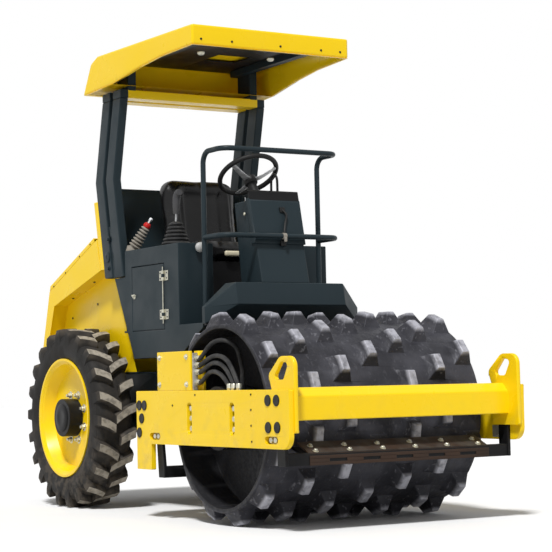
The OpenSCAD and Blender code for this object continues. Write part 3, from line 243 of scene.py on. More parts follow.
def dark_paint(name, color, dust, roughness):
    paint = Finish(name, color, roughness, shine=0.16)
    paint.mottle(dust, 2.1, 4, 0.45, 0.35)
    settled = paint.both(paint.band(paint.facing_up(), 0.6, 0.95, 0.0, 0.45),
                         paint.band(paint.noise(11, 8), 0.35, 0.7))
    paint.over(settled, srgb(92, 92, 88))
    paint.rough(paint.noise(6, 6), roughness - 0.08, roughness + 0.12)
    paint.bump(paint.noise(380, 2), 0.00015)
    return paint


def drum_steel():
    steel = Finish("drum_steel", srgb(46, 46, 51), 0.5, metallic=0.2, shine=0.2)
    away = steel.radius(DRUM)
    scuffs = steel.noise(55, 7, steel.rolled(DRUM, 0.28))
    steel.mottle(srgb(70, 70, 76), 7, 8, 0.75, 0.4, 0.68)
    rubbed = steel.both(steel.band(scuffs, 0.56, 0.72, 0.0, 0.6),
                        steel.band(away, DRUM_R - 0.066, DRUM_R - 0.05))
    steel.over(rubbed, srgb(128, 128, 134))
    worn = steel.both(steel.band(away, DRUM_R - 0.022, DRUM_R - 0.001),
                      steel.band(steel.noise(34, 8), 0.28, 0.6, 0.45, 1.0))
    steel.over(worn, srgb(172, 172, 180))
    # painted shade: the shell between the pads and the drum's recessed inside, below the pads' height, are
    # darkened
    shaded_inside = steel.band(away, DRUM_R - 0.075, DRUM_R - 0.062, 0.85, 0.0)
    steel.over(shaded_inside, srgb(38, 38, 40))
    steel.rough(scuffs, 0.42, 0.7)
    steel.bump(steel.noise(26, 9), 0.004, 0.5)
    steel.bump(scuffs, 0.0025, 0.6)
    return steel


def tyre_rubber():
    rubber = Finish("tyre_rubber", srgb(36, 35, 34), 0.72, shine=0.2)
    away = rubber.radius(AXLE)
    rubber.mottle(srgb(54, 51, 48), 6, 8, 0.6)
    dust = rubber.both(rubber.band(away, WHEEL_R - 0.05, WHEEL_R - 0.01),
                       rubber.band(rubber.noise(18, 9), 0.35, 0.65, 0.1, 0.6))
    rubber.over(dust, srgb(98, 90, 80))
    tops = rubber.both(rubber.band(rubber.outward(AXLE), 0.75, 0.93),
                       rubber.band(away, WHEEL_R - 0.022, WHEEL_R - 0.008))
    worn = rubber.both(tops, rubber.band(rubber.noise(40, 9), 0.3, 0.6, 0.45, 1.0))
    rubber.over(worn, srgb(168, 160, 146))
    splash = rubber.both(rubber.band(rubber.height(), 0.05, 0.6, 0.4, 0.0),
                         rubber.band(rubber.noise(25, 9), 0.42, 0.65))
    rubber.over(splash, srgb(104, 95, 84))
    rubber.rough(rubber.noise(12, 6), 0.62, 0.86)
    rubber.bump(rubber.noise(190, 6), 0.0008, 0.7)
    return rubber


def hose_rubber():
    rubber = Finish("hose_rubber", srgb(34, 34, 35), 0.58, shine=0.3)
    rubber.mottle(srgb(70, 69, 67), 16, 6, 0.6)
    rubber.rough(rubber.noise(22, 5), 0.48, 0.72)
    rubber.bump(rubber.noise(700, 3), 0.0004, 0.8)
    return rubber


def bare_metal(name, color, tint, roughness, metallic, grain):
    metal = Finish(name, color, roughness, metallic)
    metal.mottle(tint, grain, 7, 0.7)
    metal.rough(metal.noise(grain * 1.5, 6), roughness - 0.1, roughness + 0.14)
    metal.bump(metal.noise(grain * 6, 5), 0.0006, 0.6)
    return metal


def seat_vinyl():
    vinyl = Finish("seat_vinyl", srgb(14, 14, 15), 0.34, shine=0.3)
    grain = vinyl.nodes.new("ShaderNodeTexVoronoi")
    grain.feature = "DISTANCE_TO_EDGE"
    vinyl.links.new(vinyl.place, grain.inputs["Vector"])
    grain.inputs["Scale"].default_value = 420
    vinyl.mottle(srgb(26, 26, 27), 5, 5, 0.6)
    vinyl.rough(vinyl.noise(9, 6), 0.24, 0.4)
    vinyl.bump(grain.outputs["Distance"], 0.0005, 0.4)
    return vinyl


def plastic(name, color, tint, roughness):
    made = Finish(name, color, roughness, shine=0.25)
    made.mottle(tint, 12, 6, 0.6)
    made.rough(made.noise(15, 5), roughness - 0.08, roughness + 0.12)
    made.bump(made.noise(520, 3), 0.0003, 0.7)
    return made


for packed in list(bpy.data.materials):
    bpy.data.materials.remove(packed)
FINISHES = {made.material.name: made.material for made in (
    yellow_paint(),
    dark_paint("slate_paint", srgb(34, 45, 50), srgb(41, 52, 57), 0.42),
    dark_paint("black_paint", srgb(19, 19, 20), srgb(28, 28, 29), 0.45),
    dark_paint("rust_paint", srgb(46, 38, 33), srgb(74, 54, 42), 0.6),
    drum_steel(),
    tyre_rubber(),
    hose_rubber(),
    bare_metal("zinc_plate", srgb(206, 204, 188), srgb(176, 174, 160), 0.36, 0.75, 30),
    bare_metal("cast_metal", srgb(186, 187, 188), srgb(150, 150, 152), 0.5, 0.7, 45),
    seat_vinyl(),
    plastic("black_plastic", srgb(24, 24, 24), srgb(36, 36, 36), 0.5),
    plastic("gaiter_plastic", srgb(150, 144, 134), srgb(112, 106, 97), 0.55),
    plastic("grey_plastic", srgb(186, 186, 184), srgb(160, 160, 158), 0.4),
    bare_metal("engine_iron", srgb(64, 64, 66), srgb(84, 82, 80), 0.6, 0.2, 12),
    plastic("red_plastic", srgb(190, 30, 26), srgb(158, 22, 20), 0.36),
    plastic("cream_plastic", srgb(226, 218, 190), srgb(204, 194, 164), 0.45),
    bare_metal("chrome_plate", srgb(224, 226, 228), srgb(206, 208, 210), 0.2, 1.0, 20),
)}


def piece(name, bm, finish, node, angle=40):
    """A mesh of the row frame that rides on the body of a CAD node."""
    bmesh.ops.recalc_face_normals(bm, faces=bm.faces)
    mesh = bpy.data.meshes.new(name)
    bm.to_mesh(mesh)
    bm.free()
    mesh.polygons.foreach_set("use_smooth", [True] * len(mesh.polygons))
    mesh.set_sharp_from_angle(angle=math.radians(angle))
    mesh.materials.append(FINISHES[finish])
    made = bpy.data.objects.new(name, mesh)
    bpy.context.scene.collection.objects.link(made)
    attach(made, NODES[node]["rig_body"])
    return made


def blank(count):
    return [bmesh.new() for _ in range(count)]


def facing(place, axis):
    """A frame at a place whose Z runs along the axis."""
    return Matrix.Translation(place) @ Vector(axis).to_track_quat("Z", "Y").to_matrix().to_4x4()


def turns(count):
    """Angles that part a full turn evenly."""
    return [2 * math.pi * i / count for i in range(count)]


def bridge(bm, low, high):
    """Faces between two rings, one of which may be a single point."""
    count = max(len(low), len(high))
    for i in range(count):
        k = (i + 1) % count
        if len(low) == 1:
            bm.faces.new((low[0], high[i], high[k]))
        elif len(high) == 1:
            bm.faces.new((low[i], low[k], high[0]))
        else:
            bm.faces.new((low[i], low[k], high[k], high[i]))


def loft(bm, rings):
    """A body through rings of points, closed at both ends."""
    for low, high in zip(rings, rings[1:]):
        bridge(bm, low, high)
    for end in (rings[0][::-1], rings[-1]):
        if len(end) > 2:
            bm.faces.new(end)


def lathe(bm, profile, place, axis, segments=32, ring=False):
    """Turns (radius, height) pairs about an axis. With ring the profile is a closed loop."""
    turned = facing(place, axis)
    rings = []
    for radius, height in profile:
        rings.append([bm.verts.new(turned @ Vector((radius * math.cos(a), radius * math.sin(a), height)))
                      for a in turns(segments if radius else 1)])
    if ring:
        for low, high in zip(rings, rings[1:] + rings[:1]):
            bridge(bm, low, high)
    else:
        loft(bm, rings)


def sweep(bm, path, radii, sides=14):
    """A round tube along points, with one radius or one for each point."""
    path = [Vector(p) for p in path]
    if not isinstance(radii, (list, tuple)):
        radii = [radii] * len(path)
    across = None
    rings = []
    for i, point in enumerate(path):
        along = (path[min(i + 1, len(path) - 1)] - path[max(i - 1, 0)]).normalized()
        across = along.orthogonal() if across is None else across - along * across.dot(along)
        across.normalize()
        beside = along.cross(across)
        rings.append([bm.verts.new(point + radii[i] * (math.cos(a) * across + math.sin(a) * beside))
                      for a in turns(sides)])
    loft(bm, rings)


def curved(points, steps=8):
    """Points of a smooth line through the given ones."""
    points = [Vector(p) for p in points]
    line = []
    for i in range(len(points) - 1):
        before, here = points[max(i - 1, 0)], points[i]
        there, after = points[i + 1], points[min(i + 2, len(points) - 1)]
        for k in range(steps):
            t = k / steps
            line.append(0.5 * (2 * here + (there - before) * t
                               + (2 * before - 5 * here + 4 * there - after) * t ** 2
                               + (3 * here - before - 3 * there + after) * t ** 3))
    return line + [points[-1]]


def slab(bm, low, high, edge=0.002, turned=Matrix.Identity(4)):
    """A block with rounded edges, in the row frame or in a frame of its own."""
    low, high = Vector(low), Vector(high)
    place = turned @ Matrix.Translation((low + high) / 2) @ Matrix.Diagonal((*(high - low), 1))
    corners = bmesh.ops.create_cube(bm, size=1, matrix=place)["verts"]
    edges = list({e for v in corners for e in v.link_edges})
    bmesh.ops.bevel(bm, geom=edges, offset=edge, segments=3, profile=0.5, affect="EDGES")


def bolt(bm, place, axis, size):
    """A hexagon head on a washer, with size as half its width over the corners."""
    base, wide, top = size * 0.22, size * 1.5, size * 0.86
    lathe(bm, ((wide, 0), (wide, base * 0.8), (size * 1.42, base), (0, base)), place, axis, 24)
    lathe(bm, ((size, base), (size, base + size * 0.7), (size * 0.82, base + top), (0, base + top)),
          place, axis, 6)


def screw(bm, place, axis, size):
    """A low round head with a sunk socket."""
    lathe(bm, ((size, 0), (size, size * 0.3), (size * 0.75, size * 0.55), (size * 0.4, size * 0.58),
               (size * 0.36, size * 0.2), (0, size * 0.2)), place, axis, 20)


def screws(name, places, axis, size, finish, node):
    """A piece of like screws."""
    bm = bmesh.new()
    for place in places:
        screw(bm, place, axis, size)
    piece(name, bm, finish, node)


def spun(name, profile, places, axis, segments, finish, node, angle=40):
    """A piece with a turned body at each place."""
    bm = bmesh.new()
    for place in places:
        lathe(bm, profile, place, axis, segments)
    return piece(name, bm, finish, node, angle)


def softened(node, width):
    """A copy of a CAD node with its outward edges rounded, which stands for it."""
    bm = bmesh.new()
    bm.from_mesh(NODES[node].data)
    bmesh.ops.remove_doubles(bm, verts=bm.verts, dist=WELD)
    bmesh.ops.dissolve_limit(bm, angle_limit=FLAT_ANGLE, verts=bm.verts, edges=bm.edges)
    edges = [e for e in bm.edges if e.is_manifold and e.is_convex
             and e.calc_face_angle(0) > EDGE_ANGLE and e.calc_length() > 2 * width]
    bmesh.ops.bevel(bm, geom=edges, offset=width, segments=2, profile=0.6, affect="EDGES")
    many = [f for f in bm.faces if len(f.verts) > 4]
    bmesh.ops.triangulate(bm, faces=many, ngon_method="EAR_CLIP")
    made = piece(f"{node}_body", bm, SLOT_OF[node], node, 50)
    made.modifiers.new("even", "WEIGHTED_NORMAL").keep_sharp = True
    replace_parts(made, node)


# places on a side plate, as distance ahead of the drum's axle and height
PLUG_PLACES = ((-0.729, 0.566), (-0.674, 0.566), (-0.704, 0.501), (-0.73, 0.43),
               (0.527, 0.59), (0.6, 0.59), (0.527, 0.47), (0.604, 0.471))
PLUG = ((0.0255, 0), (0.0255, 0.003), (0.0225, 0.0055), (0.014, 0.0045), (0, 0.0045))
DRUM_SLOTS, END_SLOTS = (-0.2045, 0.2045), (-0.564, 0.55)
SLOT_BOLTS = [(d, z) for d in DRUM_SLOTS for z in (0.457, 0.505, 0.553)]
SLOT_BOLTS += [(d + k, 0.414) for d in END_SLOTS for k in (-0.019, 0.019)]
# the sheets behind the slots: half length, foot and top
SLOT_SHEETS = ((DRUM_SLOTS, 0.03, 0.42, 0.59), (END_SLOTS, 0.055, 0.385, 0.443))
SHEET_IN, SHEET_OUT = 0.004, 0.002
# these are x and z of the row frame
PLATE_MARKS = ((0.47, 0.5665), (0.7, 0.617), (1.224, 0.617), (1.222, 0.548), (1.222, 0.477),
               (1.225, 0.405))


def frame_fittings(side, sign):
    """Plugs and screws on a side plate, and bolts on the sheets behind its slots."""
    out = (0, sign, 0)
    node = f"side_plate_{side}"
    face_y, seat_y = sign * PLATE_OUT, sign * PLATE_IN
    places = [(DRUM.x + d, face_y, z) for d, z in PLUG_PLACES]
    spun(f"plate_plugs_{side}", PLUG, places, out, 32, "black_plastic", node)
    places = [(x, face_y, z) for x, z in PLATE_MARKS]
    screws(f"plate_screws_{side}", places, out, 0.005, "black_plastic", node)
    bolts = bmesh.new()
    for d, z in SLOT_BOLTS:
        bolt(bolts, (DRUM.x + d, seat_y + sign * SHEET_OUT, z), out, 0.0145)
    # thick on the left, and flat on the right, where near and far meet
    near, far = min(seat_y, seat_y - sign * SHEET_IN), max(seat_y, seat_y + sign * SHEET_OUT)
    for slots, half, foot, top in SLOT_SHEETS:
        for d in slots:
            slab(bolts, (DRUM.x + d - half, near, foot), (DRUM.x + d + half, far, top))
    piece(f"plate_bolts_{side}", bolts, "zinc_plate", node)


HOSE_Y = -0.617
HOSE_RISES = (0.154, 0.122, 0.088, 0.038)
HOSE_NUT = ((0.0165, 0), (0.0165, 0.012), (0.0135, 0.013), (0.0135, 0.03), (0.0125, 0.031))
NUT_GAP = 0.0006
HOSE_FEET, HOSE_FOOT_Z = (1.0538, 1.0078, 0.9678), 0.6155
HOSE_CRIMP = ((0.0165, 0.0), (0.0165, 0.014), (0.0138, 0.015), (0.0138, 0.03), (0.0146, 0.032),
              (0.0138, 0.034), (0.0138, 0.05), (0.0125, 0.052))


def valve_fittings():
    """Bolts on the valve's cover, and nuts and crimps on the ends of the hoses."""
    low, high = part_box("valve_cover")
    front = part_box("valve_block")[1].x
    bolts = bmesh.new()
    for x in (low.x + 0.028, front - 0.036):
        for z in (low.z + 0.03, high.z - 0.028):
            bolt(bolts, (x, low.y, z), (0, -1, 0), 0.0095)
    piece("valve_cover_bolts", bolts, "zinc_plate", "valve_cover")
    start = Vector((front, HOSE_Y, low.z))
    ends = bmesh.new()
    for rise in HOSE_RISES:
        lathe(ends, HOSE_NUT, start + Vector((NUT_GAP, 0, rise)), AHEAD, 6)
    for x in HOSE_FEET:
        lathe(ends, HOSE_CRIMP, (x, HOSE_Y, HOSE_FOOT_Z), UP, 18)
    piece("hose_crimps", ends, "zinc_plate", "hoses")


TINES = [0.1818 * (k - 2.5) for k in range(6)]
# foot and crest of each blade, as distance ahead of the drum's axle and height
SCRAPER_BARS = (("front_scraper", (0.6196, 0.3484), (0.5089, 0.398)),
                ("rear_scraper", (-0.5758, 0.2586), (-0.482, 0.31)))
BLADE_HALF, BLADE_REACH = 0.003, 0.046
# heights of the lip's rails and of the webs between its slots, from the lip's top
LIP_RAILS, LIP_WEB = ((-0.044, -0.029), (-0.015, 0)), (-0.032, -0.012)
LIP_T, LIP_DROP = 0.0045, 0.006
LIP_SLOT, LIP_SLOT_HALF = 0.105, 0.047


def scraper_fittings():
    """Each scraper's leaning blade with its bolts, and the slotted lip under it."""
    half = TINES[-1] + BLADE_REACH
    slots = [y + LIP_SLOT for y in TINES[:-1]]
    webs = list(zip([-half, *[y + LIP_SLOT_HALF for y in slots]],
                    [*[y - LIP_SLOT_HALF for y in slots], half]))
    for node, low, crest in SCRAPER_BARS:
        foot = DRUM * Vector(AHEAD) + Vector((low[0], 0, low[1]))
        along = Vector((crest[0] - low[0], 0, crest[1] - low[1]))
        way = 1 if low[0] > 0 else -1
        rise = Vector((along.z, 0, -along.x)).normalized() * way
        turned = Matrix((rise, ACROSS, along.normalized())).transposed().to_4x4()
        blade, bolts, lip = blank(3)
        slab(blade, (-BLADE_HALF, -half, 0), (BLADE_HALF, half, along.length), THIN_EDGE,
             Matrix.Translation(foot) @ turned)
        for y in TINES:
            for share in (0.2, 0.62):
                bolt(bolts, foot + along * share + rise * BLADE_HALF + Vector((0, y, 0)), rise, 0.0095)
        back, front = sorted((foot.x, foot.x + way * LIP_T))
        top = low[1] - LIP_DROP
        for under, over in LIP_RAILS:
            slab(lip, (back, -half, top + under), (front, half, top + over), THIN_EDGE)
        for near, far in webs:
            slab(lip, (back, near, top + LIP_WEB[0]), (front, far, top + LIP_WEB[1]), THIN_EDGE)
        piece(f"{node}_blade", blade, "rust_paint", node)
        piece(f"{node}_bolts", bolts, "zinc_plate", node)
        piece(f"{node}_lip", lip, "rust_paint", node)


TYRE_R, TREAD_R, BEAD_R = 0.495, 0.461, 0.305
TYRE_HALF, TYRE_Y = 0.1125, 0.508
TYRE_SHARES = ((0, 0.72), (0.15, 0.86), (0.45, 1), (0.75, 0.96), (0.93, 0.82), (1, 0.54))
LUGS = 22
# stations of a lug: share of the half width, turn in pitches, and shares of its height above and below
LUG_STARTS = ((-0.14, -0.07, 1, 0.35), (0.16, 0.1, 1, 0.35))
LUG_LINE = ((0.22, 0.13, 1, 0.4), (0.5, 0.26, 1, 0.5), (0.75, 0.34, 0.97, 0.8), (0.93, 0.39, 0.9, 1.2),
            (0.99, 0.41, 0.1, 1.7))
LUG_FOOT, LUG_SHOULDER, LUG_TOP, LUG_SOFT = 0.037, 0.026, 0.021, 0.005
ROUND = 120


def tyre(side, sign):
    """The tyre with lugs that curve back from its middle, where its CAD solid has straight ones."""
    bm = bmesh.new()
    deep, tall = TREAD_R - BEAD_R, TYRE_R - TREAD_R
    half = curved([(BEAD_R + share * deep, wide * TYRE_HALF, 0) for share, wide in TYRE_SHARES], 3)
    loop = [(p.x, p.y) for p in half] + [(p.x, -p.y) for p in reversed(half)]
    middle = Vector((AXLE.x, sign * TYRE_Y, AXLE.z))
    lathe(bm, loop, middle, ACROSS, ROUND, True)
    pitch = 2 * math.pi / LUGS
    for i in range(2 * LUGS):
        row = -1 if i % 2 else 1
        rings = []
        for wide, turn, above, below in (LUG_STARTS[i // 2 % 2], *LUG_LINE):
            high, low = TREAD_R + above * tall, TREAD_R - below * tall
            soft = min(LUG_SOFT, (high - low) / 4)
            ring = []
            for r, c in ((low, -LUG_FOOT), (low, LUG_FOOT), (high - soft, LUG_SHOULDER), (high, LUG_TOP),
                         (high, -LUG_TOP), (high - soft, -LUG_SHOULDER)):
                a = pitch * (i / 2 + turn) + c / TYRE_R
                spot = Vector((r * math.cos(a), row * wide * TYRE_HALF, r * math.sin(a)))
                ring.append(bm.verts.new(middle + spot))
            rings.append(ring)
        loft(bm, rings)
    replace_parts(piece(f"tyre_tread_{side}", bm, "tyre_rubber", f"tyre_{side}", 35), f"tyre_{side}")


NUTS, NUT_CIRCLE, NUT_Y = 8, 0.1325, 0.54
STUD = ((0.008, 0.012), (0.008, 0.026), (0.006, 0.028), (0, 0.028))
CAP_Y = 0.62
CAP = ((0.078, -0.002), (0.078, 0.002), (0.072, 0.006), (0.04, 0.0075), (0.034, 0.006), (0, 0.0065))
WALL_RINGS = ((0.352, 0.6095), (0.392, 0.619), (0.43, 0.6125))
WALL_RING = ((-0.004, -0.006), (-0.0015, 0.002), (0.0015, 0.002), (0.004, -0.006))
STEM_FOOT = (0.235, 0.545, 0.14)
STEM = ((0, 0, 0), (0.004, 0.03, 0.003), (0.02, 0.05, 0.014))


def wheel_fittings(side, sign):
    """A wheel's tyre with rings on its outer wall, nuts, cap and valve stem."""
    tyre(side, sign)
    out = (0, sign, 0)
    node = f"rim_{side}"
    nuts = bmesh.new()
    for i in range(NUTS):
        a = 2 * math.pi * (i + 0.5) / NUTS
        spot = Vector((AXLE.x + NUT_CIRCLE * math.cos(a), sign * NUT_Y, AXLE.z + NUT_CIRCLE * math.sin(a)))
        bolt(nuts, spot, out, 0.0155)
        lathe(nuts, STUD, spot, out, 16)
    piece(f"wheel_nuts_{side}", nuts, "zinc_plate", node)
    spun(f"hub_cap_{side}", CAP, [(AXLE.x, sign * CAP_Y, AXLE.z)], out, 48, "black_paint", node)
    rings = bmesh.new()
    for r, y in WALL_RINGS:
        loop = [(r + wide, y + lift) for wide, lift in WALL_RING]
        lathe(rings, loop, (AXLE.x, 0, AXLE.z), out, ROUND, True)
    piece(f"sidewall_rings_{side}", rings, "tyre_rubber", f"tyre_{side}")
    stem = bmesh.new()
    foot = Vector((AXLE.x + STEM_FOOT[0], sign * STEM_FOOT[1], AXLE.z + STEM_FOOT[2]))
    sweep(stem, curved([foot + Vector((x, sign * y, z)) for x, y, z in STEM]), 0.006, 12)
    piece(f"tyre_valve_{side}", stem, "zinc_plate", node)


DOOR_Y, LEAF_T = 0.45, 0.0034
LATCH_X, LATCH_Z = -0.327, 1.139
LATCH = ((0.013, 0), (0.013, 0.003), (0.011, 0.005), (0.007, 0.0055), (0.007, 0.01), (0, 0.0105))
HINGES_Z = (1.005, 1.206)
PIN_X, PIN_OUT, PIN_ENDS = 0.0133, 0.008, (0.984, 1.278)


def door_fittings(side, sign):
    """A door's latch, and its hinges with leaves, screws and pin."""
    out = (0, sign, 0)
    face = sign * DOOR_Y
    leaf = face + sign * LEAF_T
    latch = bmesh.new()
    spot = Vector((LATCH_X, face, LATCH_Z))
    lathe(latch, LATCH, spot, out, 28)
    near, far = sorted((face + sign * 0.006, face + sign * 0.014))
    slab(latch, (spot.x - 0.013, near, spot.z + 0.002), (spot.x + 0.013, far, spot.z + 0.011), 0.003)
    piece(f"door_latch_{side}", latch, "zinc_plate", f"door_{side}")
    fixed, moving, leaves, plates = blank(4)
    near, far = sorted((face, leaf))
    for z in HINGES_Z:
        for bm, back, front in ((leaves, -0.034, 0.004), (plates, 0.022, 0.06)):
            slab(bm, (back, near, z + 0.001), (front, far, z + 0.051), THIN_EDGE)
        for rise in (0.012, 0.04):
            screw(fixed, (0.049, leaf, z + rise), out, 0.0045)
            screw(moving, (-0.022, leaf, z + rise), out, 0.0045)
    sweep(plates, [(PIN_X, face + sign * PIN_OUT, z) for z in PIN_ENDS], 0.003, 12)
    piece(f"hinge_screws_{side}", fixed, "engine_iron", "door_hinges")
    piece(f"door_screws_{side}", moving, "engine_iron", f"door_{side}")
    piece(f"hinge_leaves_{side}", leaves, "zinc_plate", f"door_{side}")
    piece(f"hinge_plates_{side}", plates, "zinc_plate", "door_hinges")


LID_SCREWS = ((-0.856, 1.461), (-0.998, 1.403), (-1.191, 1.322), (-1.356, 1.253))
ARCH_SCREWS, ARCH_Y = ((-0.947, 1.13), (-1.286, 1.064)), 0.37
SLOPE_SCREWS, SLOPE_Y, SLOPE = ((-0.927, 1.2545), (-1.215, 1.177)), 0.4, (0.26, 0, -0.97)
POST_BOSS = ((0.03, 0), (0.03, 0.004), (0.027, 0.006), (0.012, 0.006), (0.01, 0.004), (0, 0.004))
POST_Y = 0.457


def hood_fittings(side, sign):
    """Screws on the hood's lid and arch and on the dash, and the boss on a post of the roof."""
    out = (0, sign, 0)
    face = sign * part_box("hood_lid")[1].y
    places = [(x, face, z) for x, z in LID_SCREWS]
    screws(f"lid_screws_{side}", places, out, 0.005, "black_plastic", "hood_lid")
    inner = bmesh.new()
    for x, z in ARCH_SCREWS:
        screw(inner, (x, sign * ARCH_Y, z), out, 0.007)
    for x, z in SLOPE_SCREWS:
        screw(inner, (x, sign * SLOPE_Y, z), SLOPE, 0.007)
    piece(f"arch_screws_{side}", inner, "black_plastic", "hood")
    places = [(0.34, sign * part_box("dash")[1].y, 1.532)]
    screws(f"dash_studs_{side}", places, out, 0.009, "zinc_plate", "dash")
    boss = bmesh.new()
    lathe(boss, POST_BOSS, (-0.633, sign * POST_Y, 1.373), out, 40)
    for z in (1.31, 1.47):
        bolt(boss, (-0.62, sign * POST_Y, z), out, 0.011)
    piece(f"rops_boss_{side}", boss, "slate_paint", "rops")


DASH_X, DASH_Z, DASH_RUN, DASH_RISE = 0.4975, 1.17, 0.107, 0.442


def dash_x(z):
    """The dash's front face at a height."""
    return DASH_X - (z - DASH_Z) * DASH_RUN / DASH_RISE


def strap(bm, path, across, widths, thick):
    """A flat bar with rounded sides along points."""
    path, across = [Vector(p) for p in path], Vector(across).normalized()
    rings = []
    for i, (point, wide) in enumerate(zip(path, widths)):
        along = path[min(i + 1, len(path) - 1)] - path[max(i - 1, 0)]
        over = along.cross(across).normalized()
        rings.append([bm.verts.new(point + across * wide * math.cos(a) + over * thick * math.sin(a))
                      for a in turns(16)])
    loft(bm, rings)


GRIP_R, GRIP_THICK = 0.155, 0.013
# radius and height of a spoke's line
SPOKE_LINE = ((0.02, -0.04), (0.05, -0.039), (0.1, -0.024), (0.15, -0.006))
SPOKE_WIDE, SPOKE_TAPER, SPOKE_THICK = 0.019, 0.007, 0.0055
WHEEL_HUB = ((0.03, -0.066), (0.034, -0.06), (0.034, -0.034), (0.032, -0.024), (0.024, -0.018),
             (0.01, -0.016), (0, -0.0158))


def steering_wheel():
    """A round rim with three bright spokes and a hub."""
    turned = Matrix((WHEEL_AXIS.cross(Vector((0, -1, 0))), ACROSS, WHEEL_AXIS)).transposed()
    rim, spokes, hub = blank(3)
    loop = [(GRIP_R + GRIP_THICK * math.cos(a), GRIP_THICK * math.sin(a)) for a in turns(20)]
    lathe(rim, loop, WHEEL, WHEEL_AXIS, 96, True)
    for turn in (60, 180, 300):
        away = Vector((math.cos(math.radians(turn)), math.sin(math.radians(turn)), 0))
        across = turned @ Vector((-away.y, away.x, 0))
        line = curved([WHEEL + turned @ (away * r + Vector((0, 0, h))) for r, h in SPOKE_LINE])
        widths = [SPOKE_WIDE - SPOKE_TAPER * i / (len(line) - 1) for i in range(len(line))]
        strap(spokes, line, across, widths, SPOKE_THICK)
    lathe(hub, WHEEL_HUB, WHEEL, WHEEL_AXIS, 40)
    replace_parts(piece("steering_rim", rim, "black_plastic", "steering_wheel", 80), "steering_wheel")
    piece("steering_spokes", spokes, "cast_metal", "steering_wheel", 60)
    piece("steering_hub", hub, "black_plastic", "steering_wheel")


def skin(node):
    """The CAD surface of a node, to seat small pieces on."""
    mesh = NODES[node].data
    return BVHTree.FromPolygons([v.co for v in mesh.vertices], [f.vertices for f in mesh.polygons])


DIALS, DIALS_X = ((-0.085, 40), (0.0, 100), (0.085, 160)), 0.345
DIAL_CUP = ((0.029, -0.002), (0.029, 0.005), (0.0265, 0.0075), (0.0235, 0.006), (0.0235, 0.002), (0, 0.002))
DIAL_FACE = ((0.0235, 0.0015), (0.0235, 0.003), (0, 0.0032))
NEEDLE_LIFT, NEEDLE_TAIL, NEEDLE_TIP = 0.0045, 0.004, 0.018
SWITCHES, SWITCHES_X = (-0.115, -0.08, -0.045, 0.115), 0.292
SWITCH = ((0.009, -0.001), (0.009, 0.003), (0.006, 0.005), (0.003, 0.0055), (0.0032, 0.018),
          (0.0045, 0.021), (0, 0.0235))
OVERHEAD = 2


def instruments():
    """Three dials and a row of switches on top of the dash."""
    top = skin("dash")
    down = Vector((0, 0, -1))
    cups, faces, needles, keys = blank(4)
    for y, turn in DIALS:
        spot, up = top.ray_cast(Vector((DIALS_X, y, OVERHEAD)), down)[:2]
        lathe(cups, DIAL_CUP, spot, up, 40)
        lathe(faces, DIAL_FACE, spot, up, 40)
        a = math.radians(turn)
        away = Vector((0, math.cos(a), 0)) + up.cross(Vector(ACROSS)) * -math.sin(a)
        line = (spot + up * NEEDLE_LIFT - away * NEEDLE_TAIL, spot + up * NEEDLE_LIFT + away * NEEDLE_TIP)
        strap(needles, line, up.cross(away), (0.0016, 0.0006), 0.0006)
    for y in SWITCHES:
        spot, up = top.ray_cast(Vector((SWITCHES_X, y, OVERHEAD)), down)[:2]
        lathe(keys, SWITCH, spot, up, 20)
    piece("dial_cups", cups, "black_plastic", "dash")
    piece("dial_faces", faces, "cream_plastic", "dash")
    piece("dial_needles", needles, "red_plastic", "dash")
    piece("dash_switches", keys, "chrome_plate", "dash")


# y, z and distance from the dash's face
HOLD_LINE = ((0.033, 1.552, 0.006), (0.046, 1.525, 0.016), (0.034, 1.48, 0.012), (0.02, 1.44, 0.016),
             (0.012, 1.4, 0.012), (0.01, 1.376, 0.007))
# height of a block under the strap's end, and where it begins and ends across
HOLD_ENDS = ((1.552, 0.018, 0.048), (1.376, -0.006, 0.026))
VISOR_HALF, VISOR_FOOT, VISOR_TOP = 0.148, 1.57, 1.646
VISOR_BACK, VISOR_FRONT = -0.016, -0.002
CLIP = ((0.0135, -0.011), (0.0165, -0.01), (0.0165, 0.01), (0.0135, 0.011))
HOOP_Y = 0.07
HOOP = ((0.246, 1.605), (0.246, 1.71), (0.256, 1.74), (0.276, 1.752), (0.296, 1.74), (0.306, 1.71),
        (0.306, 1.605))
FLANGE = ((0.034, 0), (0.034, 0.005), (0.03, 0.007), (0.018, 0.0075), (0.0155, 0.014), (0.013, 0.0145))
FLANGE_X, FLANGE_Y, FLANGE_Z = 0.2615, 0.345, 0.96


